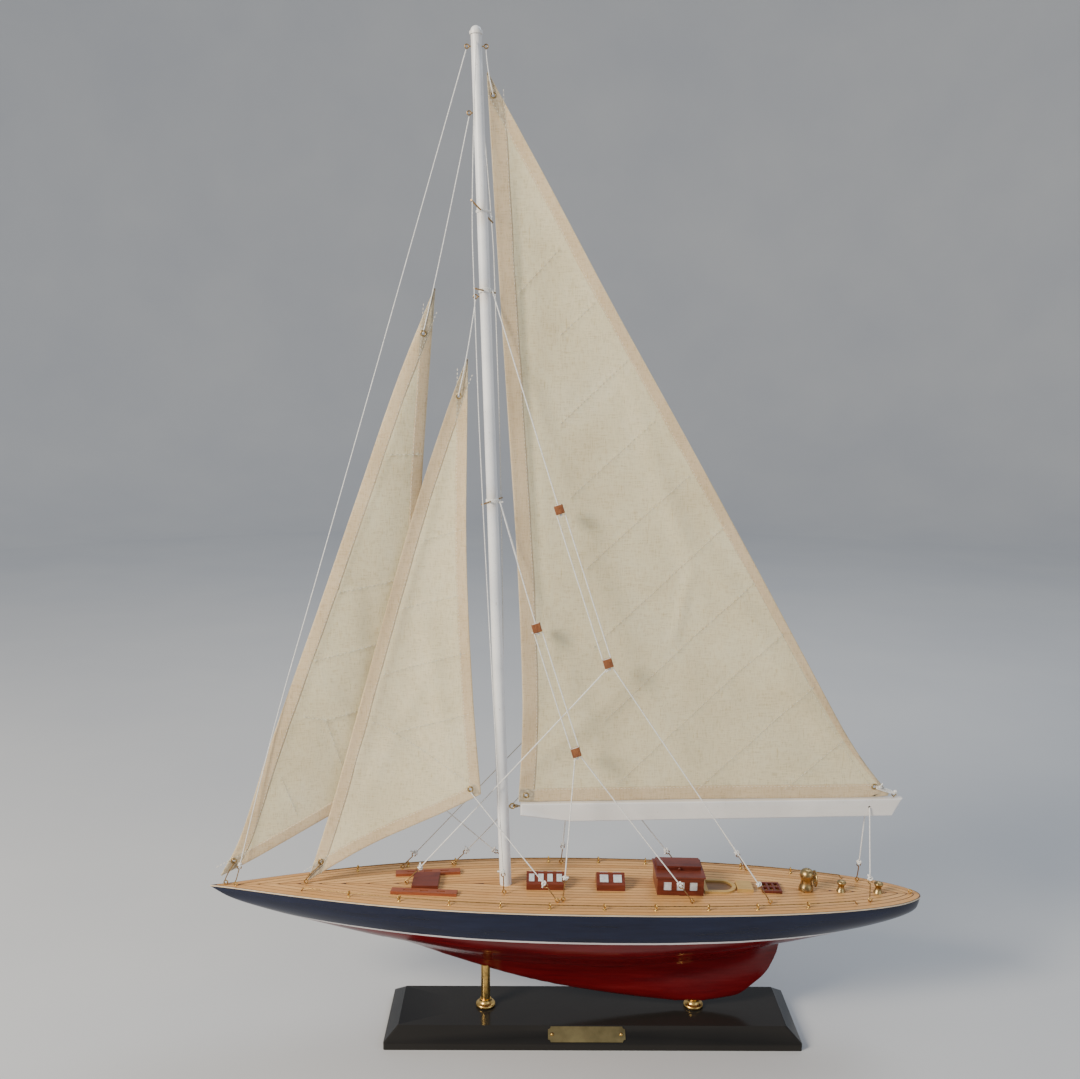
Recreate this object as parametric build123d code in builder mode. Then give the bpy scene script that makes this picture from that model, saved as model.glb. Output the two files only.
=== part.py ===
from build123d import *
from math import cos, radians, sin, tan
import os

# Display model of a classic racing yacht on a stand.
# Millimetres. X runs from bow (-) to stern (+), port is -Y, starboard is +Y, +Z is up.
# The origin is on the table under the middle of the hull's length.

# ---------------------------------------------------------------- driving dimensions
hull_length = 600.0
hull_beam = 105.0
deck_height = 126.0          # table to the highest point of the sheer line
deck_thickness = 1.2
keel_height = 22.3           # table to the underside of the keel

base_length = 346.0
base_width = 82.0
base_height = 15.4
base_lip = 6.0               # upright edge below the bevel
base_bevel = 11.2            # the bevel's width seen from above
base_center_x = 22.4

plate_length = 64.0
plate_width = 12.6
plate_thickness = 0.8
plate_notch = 2.2
plate_x = 17.4
pin_head_radius = 1.4
pin_inset = 3.4

pillar_radius = 3.9
pillar_flange_radius = 8.4
pillar_flange_height = 6.6
pillar_depth_in_hull = 5.0
screw_radius = 1.5
screw_head_radius = 3.6
screw_head_height = 2.4
screw_depth_in_hull = 18.0

mast_foot_radius = 4.9
mast_top_radius = 4.1
mast_height = 804.0          # table to the top of the mast
mast_foot_x = -50.8
mast_lean = 2.0              # degrees, towards the bow
mast_hole_depth = 26.0       # how far the mast stands in the hull
mast_fit = 0.25              # round the mast in its hole, which does not taper

cap_collar = 2.2
band_height = 3.0
band_thickness = 0.7
mast_eye_reach = 3.2         # mast's side to the ring centre of an eye
masthead_eye_z = 795.5
jib_halyard_eye_z = 747.5
staysail_halyard_eye_z = 611.0
mast_eye_places = [(masthead_eye_z, -1), (jib_halyard_eye_z, -1), (staysail_halyard_eye_z, -1),
                   (masthead_eye_z, 1)]

upper_droop = 5.0            # the upper bar is bent down to starboard
crosstree_radius = 0.7
crosstree_half_length = 25.0
crosstree_turn = 16.5        # degrees about the mast, port tips forward
lower_crosstree_z = 451.0
middle_crosstree_z = 615.5
upper_crosstree_z = 675.0

boom_width = 8.0
boom_depth = 16.2
boom_nose_depth = 10.5
boom_fore_x = -38.6
boom_aft_x = 279.5
boom_top_fore_z = 198.4
boom_rise = 6.0              # how much higher the aft end of the boom is
sheet_hole_radius = 1.1
sheet_hole_x = 252.0
sheet_hole_drop = 7.0
clew_eye_x = 273.0
gooseneck_z = 195.0
gooseneck_reach = 4.4        # mast's side to the middle of the two linked eyes
link_radius = 2.1
link_wire_radius = 0.6
link_gap = 2.8               # between the centres of the two linked eyes

sail_thickness = 1.0
sail_gap = 0.6               # between the boom and the foot of the mainsail

cord_radius = 0.5
cord_beside = 1.8            # middle of a cord to the middle of the sail it lies against
thin_cord_radius = 0.4
wire_radius = 0.45
eye_radius = 1.5             # centre of the wire in a screw eye's ring
eye_wire_radius = 0.45
eye_shank = 3.2              # how far a screw eye goes into the wood
eye_lift = 2.4               # ring centre above the deck
hook_length = 15.0
running_clearance = 0.05

rail_inset = 8.6             # rail wire to the edge of the deck
rail_lift = 3.4
rail_wire_radius = 0.45
stanchion_ring = 1.15        # centre of the wire in a stanchion's ring
stanchion_wire = 0.5
knot_radius = 1.5
knot_gap = 0.4               # between a knot and the ring of its hook
knot_reach = eye_radius + wire_radius + knot_radius + knot_gap

block_size = 7.6
grommet_radius = 2.5
grommet_hole_radius = 1.4


# ---------------------------------------------------------------- the shape of the hull
def blend(points, x):
    """Smooth value at x through a short list of (x, value) points, without overshoot."""
    if x <= points[0][0]:
        return points[0][1]
    if x >= points[-1][0]:
        return points[-1][1]
    slopes = []
    for i in range(len(points)):
        steps = []
        for j in (i - 1, i):
            if 0 <= j < len(points) - 1:
                run = points[j + 1][0] - points[j][0]
                steps.append((points[j + 1][1] - points[j][1]) / run)
        same_way = len(steps) == 1 or steps[0] * steps[1] > 0
        slopes.append(sum(steps) / len(steps) if same_way else 0.0)
        if same_way and len(steps) == 2:
            slopes[-1] = 2 * steps[0] * steps[1] / (steps[0] + steps[1])
    for i in range(len(points) - 1):
        if x <= points[i + 1][0]:
            run = points[i + 1][0] - points[i][0]
            t = (x - points[i][0]) / run
            low, high = points[i][1], points[i + 1][1]
            bow = slopes[i] * run * t * (1 - t) ** 2 - slopes[i + 1] * run * t * t * (1 - t)
            return low + (high - low) * t * t * (3 - 2 * t) + bow
    return points[-1][1]


def station(share):
    """Position along the hull from its share of the half length, -1 at the bow, 1 aft."""
    return share * hull_length / 2


def share_of(x):
    return x / (hull_length / 2)


def sheer(x):
    """Height of the deck's upper face, which dips slightly towards both ends."""
    return deck_height - 4.5 * (share_of(x) + 0.333) ** 2


def sheer_slope(x):
    return -9.0 * (share_of(x) + 0.333) / (hull_length / 2)


def half_beam(x):
    """Half width of the deck: a pointed bow and a round stern."""
    widest = 0.083
    share = share_of(x)
    if share <= widest:
        ratio = (widest - share) / (1 + widest)
        return hull_beam / 2 * max(0.0, 1 - ratio ** 2.4) ** 1.2
    ratio = (share - widest) / (1 - widest)
    return hull_beam / 2 * max(0.0, 1 - ratio ** 2.1) ** 0.55


# Underside of the hull without the keel: share of the half length, depth below the deck.
canoe_depth = [
    (-1.0, 1.0), (-0.945, 11.0), (-0.86, 20.0), (-0.667, 34.5), (-0.447, 48.0),
    (-0.2, 59.0), (0.1, 62.0), (0.4, 53.5), (0.6, 41.0), (0.757, 30.5),
    (0.86, 24.0), (0.95, 17.0), (0.985, 12.5), (1.0, 4.5),
]

# Keel waterlines: height above the table, share of the half length at the
# forward and aft ends, half width.
keel_lines = [
    (0.0, 0.27, 0.44, 4.2),
    (3.0, 0.17, 0.49, 4.9),
    (12.5, -0.03, 0.535, 6.0),
    (27.5, -0.24, 0.582, 9.0),
    (43.0, -0.40, 0.605, 15.0),
    (54.0, -0.49, 0.61, 20.0),
    (62.0, -0.52, 0.62, 22.0),
]


def canoe_section(x):
    """Corner points of one half section: centre, turn of the bilge, topside, edge."""
    beam = half_beam(x)
    top = sheer(x) + 3.0
    bottom = sheer(x) - blend(canoe_depth, share_of(x))
    fullness = blend([(-1.0, 0.25), (-0.5, 0.45), (0.1, 0.62), (0.6, 0.70), (1.0, 0.75)],
                     share_of(x))
    bilge = bottom + 0.42 * (top - bottom)
    return [(0, bottom), (fullness * beam, bottom), (beam * 0.985, bilge), (beam, top)]


def deck_plane(x, y=0.0, lift=0.0):
    """A plane above the deck and parallel to it, its X axis pointing aft along the sheer."""
    slope = sheer_slope(x)
    return Plane(origin=(x, y, sheer(x)), x_dir=(1, 0, slope), z_dir=(-slope, 0, 1)).offset(lift)


def on_deck(x, y, lift=0.0):
    return (x, y, sheer(x) + lift)


def mast_axis(z):
    """Point on the centre line of the mast at a height above the table."""
    return (mast_foot_x - (z - deck_height) * tan(radians(mast_lean)), 0, z)


def mast_radius(z):
    share = (z - deck_height) / (mast_height - deck_height)
    return mast_foot_radius + (mast_top_radius - mast_foot_radius) * share


mast_direction = Vector(-sin(radians(mast_lean)), 0, cos(radians(mast_lean)))


def rod(start, end, radius, mode=Mode.ADD):
    """Add or cut a straight round rod between two points."""
    reach = Vector(*end) - Vector(*start)
    with Locations(Plane(origin=start, z_dir=reach)):
        Cylinder(radius, reach.length, align=(Align.CENTER, Align.CENTER, Align.MIN), mode=mode)


def line_through(points, radius, bend_radii):
    """Add a round cord or wire along straight runs joined by tangent arcs."""
    with BuildLine() as path:
        FilletPolyline(*points, radius=bend_radii)
    with BuildSketch(Plane(origin=path.line @ 0, z_dir=path.line % 0)) as section:
        Circle(radius)
    sweep(section.sketch, path=path.line)


def screw_eye(x, y):
    """Add an eye with its shank in the deck and its ring in line with the ship."""
    with Locations(Location(on_deck(x, y, eye_lift), (90, 0, 0))):
        Torus(eye_radius, eye_wire_radius)
    rod(on_deck(x, y, eye_lift - eye_radius), on_deck(x, y, -eye_shank), eye_wire_radius)


def deck_box(x, y, length, width, height, lift=0.0):
    """Add a block that stands on the deck."""
    with Locations(deck_plane(x, y, lift)):
        Box(length, width, height, align=(Align.CENTER, Align.CENTER, Align.MIN))


# ---------------------------------------------------------------- places on the deck
strip_length = 55.0
strip_width = 7.6
strip_thickness = 2.6
strip_x = station(-0.393)
strip_y = 0.1733 * hull_beam
strip_splay = 5.0
hatch_length = 22.0
hatch_height = 4.2
hatch_gap = 0.8

slot_length = 7.0
slot_width = 1.5
slot_pitch = 14.0

skylight_width = 22.0
skylight_board = 1.4
skylight_wall = 5.2
skylight_ridge = 11.6
fore_skylight_x = station(-0.058)
fore_skylight_length = 31.8
aft_skylight_x = station(0.1245)
aft_skylight_length = 23.6
pane_thickness = 0.5
pane_height = 7.2

house_x = station(0.315)
house_length = 38.6
house_width = 33.0
house_height = 15.2
house_wall = 1.6
roof_overhang = 1.3
roof_thickness = 1.4
slide_length = 37.0
slide_width = 17.0
slide_height = 3.4
slide_y = 4.6
window_width = 6.4
window_height = 7.2
window_pitch = 10.8
window_lift = 8.0

coaming_length = 28.0
coaming_width = 24.0
coaming_height = 2.0
coaming_band = 3.2
coaming_x = house_x + house_length / 2 + roof_overhang + 0.5 + coaming_length / 2
aft_hatch_length = 13.0
aft_hatch_width = 16.0
aft_hatch_height = 3.0
aft_hatch_x = coaming_x + coaming_length / 2 + aft_hatch_length / 2 + 0.6
grating_x = station(0.577)
grating_length = 16.4
grating_width = 17.0
grating_height = 2.2
grating_bar = 1.7

binnacle_x = station(0.677)
binnacle_radius = 6.0
binnacle_height = 18.6
wheel_radius = 7.0
wheel_rim_radius = 0.8
wheel_gap = 0.5
wheel_lift = 10.4
axle_radius = 0.9
winch_fore_x = station(0.776)
winch_aft_x = station(0.881)
winch_radius = 4.0
winch_height = 9.6

def rail_point(share, side, lift=0.0):
    """Point above the deck on the line of the rail; side is -1 to port, 1 to starboard."""
    x = station(share)
    return (x, side * (half_beam(x) - rail_inset), sheer(x) + lift)


def eye_place(share, inset, side):
    """Place of a screw eye from its distance to the deck's edge."""
    x = station(share)
    return (x, side * (half_beam(x) - inset))


hatch_eye = (station(-0.447), -1.5)
port_eyes = [eye_place(-0.01, 21.4, -1), eye_place(0.342, 20.4, -1), eye_place(0.557, 17.0, -1)]
starboard_eyes = [eye_place(share, 13.0, 1) for share in (-0.47, -0.323, -0.01, 0.33, 0.53)]
staysail_sheet_eye = eye_place(-0.026, 19.0, -1)
jib_sheet_eye = eye_place(-0.165, 13.0, 1)
shroud_eyes = [(mast_foot_x - 0.8, side * 0.181 * hull_beam) for side in (-1, 1)]
mainsheet_eyes = [(sheet_hole_x, side * 0.181 * hull_beam) for side in (-1, 1)]
jib_eye = (station(-0.955), 0.0)
staysail_eye = (station(-0.73), 0.0)
forestay_eye = (station(-0.925), -3.6)
stern_eye = (station(0.972), 0.0)
eye_places = [hatch_eye, *port_eyes, *starboard_eyes, staysail_sheet_eye, jib_sheet_eye,
              *shroud_eyes, *mainsheet_eyes, jib_eye, staysail_eye, forestay_eye, stern_eye]

stanchion_shares = [-0.597, -0.456, -0.319, -0.18, -0.047, 0.1, 0.238, 0.382, 0.516, 0.658]
rail_ends = (-0.735, 0.8)


# ---------------------------------------------------------------- stand
with BuildPart() as base_plinth:
    with BuildSketch() as footprint:
        with Locations((base_center_x, 0)):
            RectangleRounded(base_length, base_width, 1.5)
    extrude(amount=base_lip)
    with BuildSketch(Plane.XY.offset(base_lip)) as shoulder:
        with Locations((base_center_x, 0)):
            RectangleRounded(base_length, base_width, 1.5)
    with BuildSketch(Plane.XY.offset(base_height)) as top_face:
        with Locations((base_center_x, 0)):
            RectangleRounded(base_length - 2 * base_bevel, base_width - 2 * base_bevel, 1.5)
    loft(sections=[shoulder.sketch, top_face.sketch])
    pillar_xs = (station(-0.226), station(0.3685))
    with Locations(*[(x, 0, 0) for x in pillar_xs]):
        Cylinder(screw_radius + running_clearance, 3 * base_height, mode=Mode.SUBTRACT)
        Cylinder(screw_head_radius + 0.4, 2 * (screw_head_height + 1.0), mode=Mode.SUBTRACT)
base_plinth.part.label = "base_plinth"

bevel_normal = Vector(0, -(base_height - base_lip), base_bevel).normalized()
bevel_middle = Vector(plate_x, -base_width / 2 + base_bevel / 2, (base_lip + base_height) / 2)
plate_plane = Plane(origin=bevel_middle, x_dir=(1, 0, 0), z_dir=bevel_normal)

with BuildPart() as nameplate:
    with BuildSketch(plate_plane):
        Rectangle(plate_length, plate_width)
        with GridLocations(plate_length, plate_width, 2, 2):
            Circle(plate_notch, mode=Mode.SUBTRACT)
        with GridLocations(plate_length - 2 * pin_inset, 0, 2, 1):
            Circle(0.5, mode=Mode.SUBTRACT)
    extrude(amount=plate_thickness)
nameplate.part.label = "nameplate"

with BuildPart() as nameplate_pins:
    with Locations(plate_plane.offset(plate_thickness)):
        with GridLocations(plate_length - 2 * pin_inset, 0, 2, 1):
            Cylinder(0.45, plate_thickness, align=(Align.CENTER, Align.CENTER, Align.MAX))
            Sphere(pin_head_radius, arc_size1=0, arc_size2=90,
                   align=(Align.CENTER, Align.CENTER, Align.MIN))
nameplate_pins.part.label = "nameplate_pins"


def keel_underside(x):
    """Height of the hull's lowest surface on the centre line."""
    canoe = sheer(x) - blend(canoe_depth, share_of(x))
    fronts = [(line[1], keel_height + line[0]) for line in reversed(keel_lines)]
    if share_of(x) < fronts[-1][0]:
        return min(canoe, blend(fronts, share_of(x)))
    return keel_height if share_of(x) < keel_lines[0][2] else canoe


def pillar(x):
    """Add a turned brass post with a bell-shaped foot that runs up into the hull."""
    post_top = keel_underside(x) + pillar_depth_in_hull
    foot = base_height
    with BuildSketch(Plane(origin=(x, 0, 0), x_dir=(1, 0, 0), z_dir=(0, -1, 0))) as profile:
        with BuildLine():
            Polyline((screw_radius + running_clearance, foot), (pillar_flange_radius - 1.2, foot))
            ThreePointArc((pillar_flange_radius - 1.2, foot), (pillar_flange_radius, foot + 1.6),
                          (pillar_flange_radius - 1.8, foot + 3.2))
            ThreePointArc((pillar_flange_radius - 1.8, foot + 3.2), (pillar_radius + 1.3, foot + 4.6),
                          (pillar_radius + 0.9, foot + pillar_flange_height))
            Polyline((pillar_radius + 0.9, foot + pillar_flange_height),
                     (pillar_radius, foot + pillar_flange_height),
                     (pillar_radius, post_top), (screw_radius + running_clearance, post_top),
                     (screw_radius + running_clearance, foot))
        make_face()
    revolve(profile.sketch, axis=Axis((x, 0, 0), (0, 0, 1)))


with BuildPart() as pillar_front:
    pillar(pillar_xs[0])
pillar_front.part.label = "pillar_front"

with BuildPart() as pillar_rear:
    pillar(pillar_xs[1])
pillar_rear.part.label = "pillar_rear"

with BuildPart() as stand_screws:
    for x in pillar_xs:
        tip = keel_underside(x) + pillar_depth_in_hull + screw_depth_in_hull
        with Locations((x, 0, 1.0)):
            Cylinder(screw_head_radius, screw_head_height, align=(Align.CENTER, Align.CENTER, Align.MIN))
            Cylinder(screw_radius, tip - 1.0, align=(Align.CENTER, Align.CENTER, Align.MIN))
stand_screws.part.label = "stand_screws"


# ---------------------------------------------------------------- hull and deck
def sheer_band(lower, upper):
    """Add the slab between two heights measured from the deck, as long as the hull."""
    shares = [-1.05, -0.55, 0.0, 0.55, 1.05]
    with BuildSketch(Plane.XZ.offset(-hull_beam)) as side:
        with BuildLine():
            low = Spline(*[(station(s), sheer(station(s)) + lower) for s in shares])
            high = Spline(*[(station(s), sheer(station(s)) + upper) for s in shares])
            Line(low @ 0, high @ 0)
            Line(low @ 1, high @ 1)
        make_face()
    return side.sketch


def fitting_holes():
    """Cut the holes for the screw eyes and the stanchions in the deck or the hull."""
    for x, y in eye_places:
        rod(on_deck(x, y, 2), on_deck(x, y, -eye_shank - 0.1), eye_wire_radius + running_clearance,
            Mode.SUBTRACT)
    for share in stanchion_shares:
        for side in (-1, 1):
            rod(rail_point(share, side, 2), rail_point(share, side, -eye_shank - 0.1),
                stanchion_wire + running_clearance, Mode.SUBTRACT)


station_shares = [-0.9995, -0.93, -0.82, -0.66, -0.45, -0.2, 0.083, 0.35, 0.55, 0.72, 0.86, 0.95,
                  0.985, 0.998]

with BuildPart() as hull:
    for share in station_shares:
        x = station(share)
        middle, bilge, topside, edge = canoe_section(x)
        with BuildSketch(Plane(origin=(x, 0, 0), x_dir=(0, 1, 0), z_dir=(1, 0, 0))):
            with BuildLine():
                right = Bezier(middle, bilge, topside, edge)
                left = Bezier(*[(-y, z) for y, z in (middle, bilge, topside, edge)])
                Line(right @ 1, left @ 1)
            make_face()
    loft()
    with BuildPart(mode=Mode.PRIVATE) as keel:
        for height, front, aft, half_width in keel_lines:
            fore_x, aft_x = station(front), station(aft)
            length = aft_x - fore_x
            with BuildSketch(Plane.XY.offset(keel_height + height)):
                with BuildLine():
                    for side in (-1, 1):
                        Bezier((fore_x, 0), (fore_x + 0.22 * length, side * 1.25 * half_width),
                               (fore_x + 0.72 * length, side * 1.42 * half_width), (aft_x, 0))
                make_face()
        loft()
    add(keel.part)
    extrude(sheer_band(-deck_thickness, 40.0), amount=2 * hull_beam, both=True, mode=Mode.SUBTRACT)
    for x in pillar_xs:
        top = keel_underside(x) + pillar_depth_in_hull
        with Locations((x, 0, top)):
            Cylinder(pillar_radius + running_clearance, 20.0, mode=Mode.SUBTRACT,
                     align=(Align.CENTER, Align.CENTER, Align.MAX))
            Cylinder(screw_radius + running_clearance, screw_depth_in_hull + 0.5, mode=Mode.SUBTRACT,
                     align=(Align.CENTER, Align.CENTER, Align.MIN))
    rod(mast_axis(deck_height - mast_hole_depth), mast_axis(deck_height + 10),
        mast_foot_radius + mast_fit, Mode.SUBTRACT)
    fitting_holes()
hull.part.label = "hull"

with BuildPart() as deck:
    shares = [-0.999, -0.96, -0.88, -0.76, -0.58, -0.36, -0.12, 0.12, 0.36, 0.58, 0.76, 0.88, 0.95, 0.985]
    port_edge = [(station(s), -half_beam(station(s))) for s in shares]
    with BuildSketch(Plane.XY.offset(deck_height - 20)) as deck_outline:
        with BuildLine():
            port = Spline(*port_edge)
            starboard = Spline(*[(x, -y) for x, y in port_edge])
            ThreePointArc(port @ 1, (station(1), 0), starboard @ 1)
            Line(port @ 0, starboard @ 0)
        make_face()
    extrude(amount=30)
    extrude(sheer_band(-deck_thickness, 0), amount=2 * hull_beam, both=True, mode=Mode.INTERSECT)
    rod(mast_axis(deck_height - 10), mast_axis(deck_height + 10), mast_foot_radius + mast_fit,
        Mode.SUBTRACT)
    fitting_holes()
deck.part.label = "deck"


# ---------------------------------------------------------------- mast and crosstrees
def crosstree_tip(z, side):
    """Centre of a cross bar's end; side is -1 to port and 1 to starboard."""
    turn = radians(crosstree_turn)
    droop = upper_droop if z == upper_crosstree_z else 0.0
    reach = Vector(side * sin(turn), side * cos(turn), 0) * crosstree_half_length
    return Vector(*mast_axis(z)) + reach - Vector(0, 0, side * droop)


def crosstree(z, radius=crosstree_radius, mode=Mode.ADD):
    """Add a round cross bar, or cut its hole, through the mast."""
    rod(crosstree_tip(z, -1), crosstree_tip(z, 1), radius, mode)


def eye_beside_mast(z, side):
    """Ring centre of a screw eye in the mast: side -1 is its fore side, 1 its aft side."""
    return (mast_axis(z)[0] + side * (mast_radius(z) + mast_eye_reach), 0, z)


def eye_shank_ends(z, side):
    """Outer and inner ends of a mast eye's shank."""
    outer = mast_axis(z)[0] + side * (mast_radius(z) + mast_eye_reach - eye_radius)
    inner = mast_axis(z)[0] + side * mast_radius(z) * 0.4
    return (outer, 0, z), (inner, 0, z)


gooseneck = (mast_axis(gooseneck_z)[0] + mast_radius(gooseneck_z) + gooseneck_reach, 0, gooseneck_z)
gooseneck_ring_x = gooseneck[0] - link_gap / 2
gooseneck_shank_x = mast_axis(gooseneck_z)[0] + mast_radius(gooseneck_z) * 0.4

with BuildPart() as mast:
    heel_z = deck_height - mast_hole_depth
    for z in (heel_z, mast_height):
        with BuildSketch(Plane(origin=mast_axis(z), z_dir=mast_direction)):
            Circle(mast_radius(z))
    loft()
    for z in (lower_crosstree_z, middle_crosstree_z, upper_crosstree_z):
        crosstree(z, crosstree_radius + running_clearance, Mode.SUBTRACT)
    for z, side in mast_eye_places:
        rod(*eye_shank_ends(z, side), eye_wire_radius + running_clearance, Mode.SUBTRACT)
    rod((gooseneck_ring_x, 0, gooseneck_z), (gooseneck_shank_x, 0, gooseneck_z),
        link_wire_radius + running_clearance, Mode.SUBTRACT)
mast.part.label = "mast"

with BuildPart() as mast_cap:
    with Locations(Plane(origin=mast_axis(mast_height), z_dir=mast_direction)):
        Cylinder(mast_top_radius + 0.9, cap_collar, align=(Align.CENTER, Align.CENTER, Align.MIN))
        with Locations((0, 0, cap_collar)):
            Sphere(mast_top_radius + 0.1, arc_size1=0, arc_size2=90,
                   align=(Align.CENTER, Align.CENTER, Align.MIN))
mast_cap.part.label = "mast_cap"

with BuildPart() as mast_bands:
    for z in (lower_crosstree_z, middle_crosstree_z):
        with Locations(Plane(origin=mast_axis(z), z_dir=mast_direction)):
            Cylinder(mast_radius(z) + band_thickness, band_height)
    for z in (lower_crosstree_z, middle_crosstree_z):
        with Locations(Plane(origin=mast_axis(z), z_dir=mast_direction)):
            Cylinder(mast_radius(z) + running_clearance, 2 * band_height, mode=Mode.SUBTRACT)
        crosstree(z, crosstree_radius + running_clearance, Mode.SUBTRACT)
mast_bands.part.label = "mast_bands"

with BuildPart() as lower_crosstree:
    crosstree(lower_crosstree_z)
lower_crosstree.part.label = "lower_crosstree"

with BuildPart() as middle_crosstree:
    crosstree(middle_crosstree_z)
middle_crosstree.part.label = "middle_crosstree"

with BuildPart() as upper_crosstree:
    crosstree(upper_crosstree_z)
upper_crosstree.part.label = "upper_crosstree"


def mast_eye(z, side):
    """Add a screw eye to the mast, its ring upright in the line of the ship."""
    center = eye_beside_mast(z, side)
    with Locations(Location(center, (90, 0, 0))):
        Torus(eye_radius, eye_wire_radius)
    rod(*eye_shank_ends(z, side), eye_wire_radius)


with BuildPart() as mast_eyes:
    for z, side in mast_eye_places:
        mast_eye(z, side)
mast_eyes.part.label = "mast_eyes"

with BuildPart() as gooseneck_eye:
    with Locations(Location((gooseneck_ring_x, 0, gooseneck_z), (90, 0, 0))):
        Torus(link_radius, link_wire_radius)
    rod((gooseneck_ring_x - link_radius, 0, gooseneck_z), (gooseneck_shank_x, 0, gooseneck_z),
        link_wire_radius)
gooseneck_eye.part.label = "gooseneck_eye"


# ---------------------------------------------------------------- boom
def boom_top(x):
    return boom_top_fore_z + boom_rise * (x - boom_fore_x) / (boom_aft_x - boom_fore_x)


with BuildPart() as boom:
    nose_x = boom_fore_x + 42.0
    aft_bottom_x = boom_aft_x - 8.0
    with BuildSketch(Plane.XZ):
        with BuildLine():
            Polyline((boom_fore_x, boom_top(boom_fore_x)), (boom_aft_x, boom_top(boom_aft_x)),
                     (aft_bottom_x, boom_top(aft_bottom_x) - boom_depth * 0.93),
                     (nose_x, boom_top(nose_x) - boom_depth),
                     (boom_fore_x, boom_top(boom_fore_x) - boom_nose_depth),
                     (boom_fore_x, boom_top(boom_fore_x)))
        make_face()
    extrude(amount=boom_width / 2, both=True)
    fillet(boom.edges().filter_by(Axis.Y, reverse=True), 1.2)
    with Locations(Location((sheet_hole_x, 0, boom_top(sheet_hole_x) - sheet_hole_drop), (90, 0, 0))):
        Cylinder(sheet_hole_radius, 2 * boom_width, mode=Mode.SUBTRACT)
    rod((boom_fore_x - 1, 0, gooseneck_z), (boom_fore_x + 5.05, 0, gooseneck_z),
        link_wire_radius + running_clearance, Mode.SUBTRACT)
    rod((clew_eye_x, 0, 0), (clew_eye_x, 0, boom_width + boom_top(boom_aft_x)),
        eye_wire_radius + running_clearance, Mode.SUBTRACT)
boom.part.label = "boom"

with BuildPart() as boom_eyes:
    ring = (gooseneck[0] + link_gap / 2, 0, gooseneck_z)
    with Locations(ring):
        Torus(link_radius, link_wire_radius)
    rod((ring[0] + link_radius, 0, gooseneck_z), (boom_fore_x + 5, 0, gooseneck_z), link_wire_radius)
    clew_ring = (clew_eye_x, 0, boom_top(clew_eye_x) + eye_lift)
    with Locations(Location(clew_ring, (90, 0, 0))):
        Torus(eye_radius, eye_wire_radius)
    rod((clew_eye_x, 0, clew_ring[2] - eye_radius), (clew_eye_x, 0, clew_ring[2] - 7), eye_wire_radius)
boom_eyes.part.label = "boom_eyes"


# ---------------------------------------------------------------- sails
def headsail_plane(tack, mast_z, abaft, swing):
    """Plane with Y up the luff, towards a point abaft the mast's centre line, and X aft.

    Swing in degrees turns the clew to starboard.
    """
    aim = Vector(mast_axis(mast_z)[0] + abaft, 0, mast_z)
    upright = (aim - Vector(*tack)).normalized()
    level = Vector(upright.Z, 0, -upright.X)
    across = level * cos(radians(swing)) + Vector(0, sin(radians(swing)), 0)
    return Plane(origin=tack, x_dir=across, z_dir=across.cross(upright))


def sail(plane, luff, leech, foot, straight_foot=False):
    """Add a thin sail from three edges, each a list of points that starts where the last ends."""
    with BuildSketch(plane) as cloth:
        with BuildLine():
            Spline(*luff)
            Spline(*leech)
            if straight_foot:
                Polyline(*foot)
            else:
                Spline(*foot)
        make_face()
    extrude(cloth.sketch, amount=sail_thickness / 2, both=True)


def grommet_holes(plane, places):
    for x, y in places:
        with Locations(plane * Location((x, y, 0))):
            Cylinder(grommet_hole_radius, 10, mode=Mode.SUBTRACT)


def grommets(plane, places):
    """Add a pressed brass ring round each hole in a sail."""
    for x, y in places:
        with Locations(plane * Location((x, y, 0))):
            Cylinder(grommet_radius, sail_thickness + 1.0)
            Cylinder(grommet_radius + 1, sail_thickness + 0.04, mode=Mode.SUBTRACT)
            Cylinder(grommet_hole_radius - 0.2, sail_thickness + 1.0)
            Cylinder(grommet_hole_radius - 0.6, 10, mode=Mode.SUBTRACT)


tack_x = gooseneck[0] + 4.2
mainsail_plane = Plane.XZ
mainsail_head = (-66.0, 777.0)
mainsail_tack = (tack_x, boom_top(tack_x) + sail_gap)
mainsail_clew = (266.0, boom_top(266.0) + 5.0)
mainsail_luff = [mainsail_tack, (-36.8, 280), (-41.5, 400), (-49.5, 520), (-57.5, 640), mainsail_head]
mainsail_leech = [mainsail_head, (-21.5, 699.8), (30.4, 607), (88.7, 506.9), (141.6, 414.8),
                  (190.7, 328), (233.5, 253.3), mainsail_clew]
mainsail_foot = [mainsail_clew, (254.0, boom_top(254) + sail_gap), mainsail_tack]
mainsail_grommets_at = [(-61.6, 760.5), (-34.0, boom_top(-34) + 6.0), (256.5, boom_top(256.5) + 9.3)]

staysail_plane = headsail_plane(on_deck(staysail_eye[0] + 2.1, 0, 3.4), staysail_halyard_eye_z, 0.91, -9.0)
staysail_luff = [(0, 0), (1.0, 75), (-2.0, 190), (-5.0, 320), (-3.2, 410), (0, 455)]
staysail_leech = [(0, 455), (16.6, 399.8), (46.6, 302.9), (86.8, 193.9), (115.7, 123.5)]
staysail_foot = [(115.7, 123.5), (94.8, 101.3), (38.9, 46.5), (0, 0)]
staysail_grommets_at = [(1.8, 425.2), (5.5, 19.5), (106.7, 124.2)]

jib_plane = headsail_plane(on_deck(jib_eye[0] - 3.7, 0, 8.4), jib_halyard_eye_z, 15.06, 10.0)
jib_luff = [(0, 0), (4.5, 40), (1.4, 128), (0.5, 240), (-1.0, 340), (-2.6, 440), (0, 518)]
jib_leech = [(0, 518), (17, 458.8), (45.2, 363.2), (84, 248), (116, 138)]
jib_foot = [(116, 138), (67.9, 78.2), (21.2, 23.4), (0, 0)]
jib_grommets_at = [(3.4, 482.4), (5.6, 16.0), (106.5, 135.5)]

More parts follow.
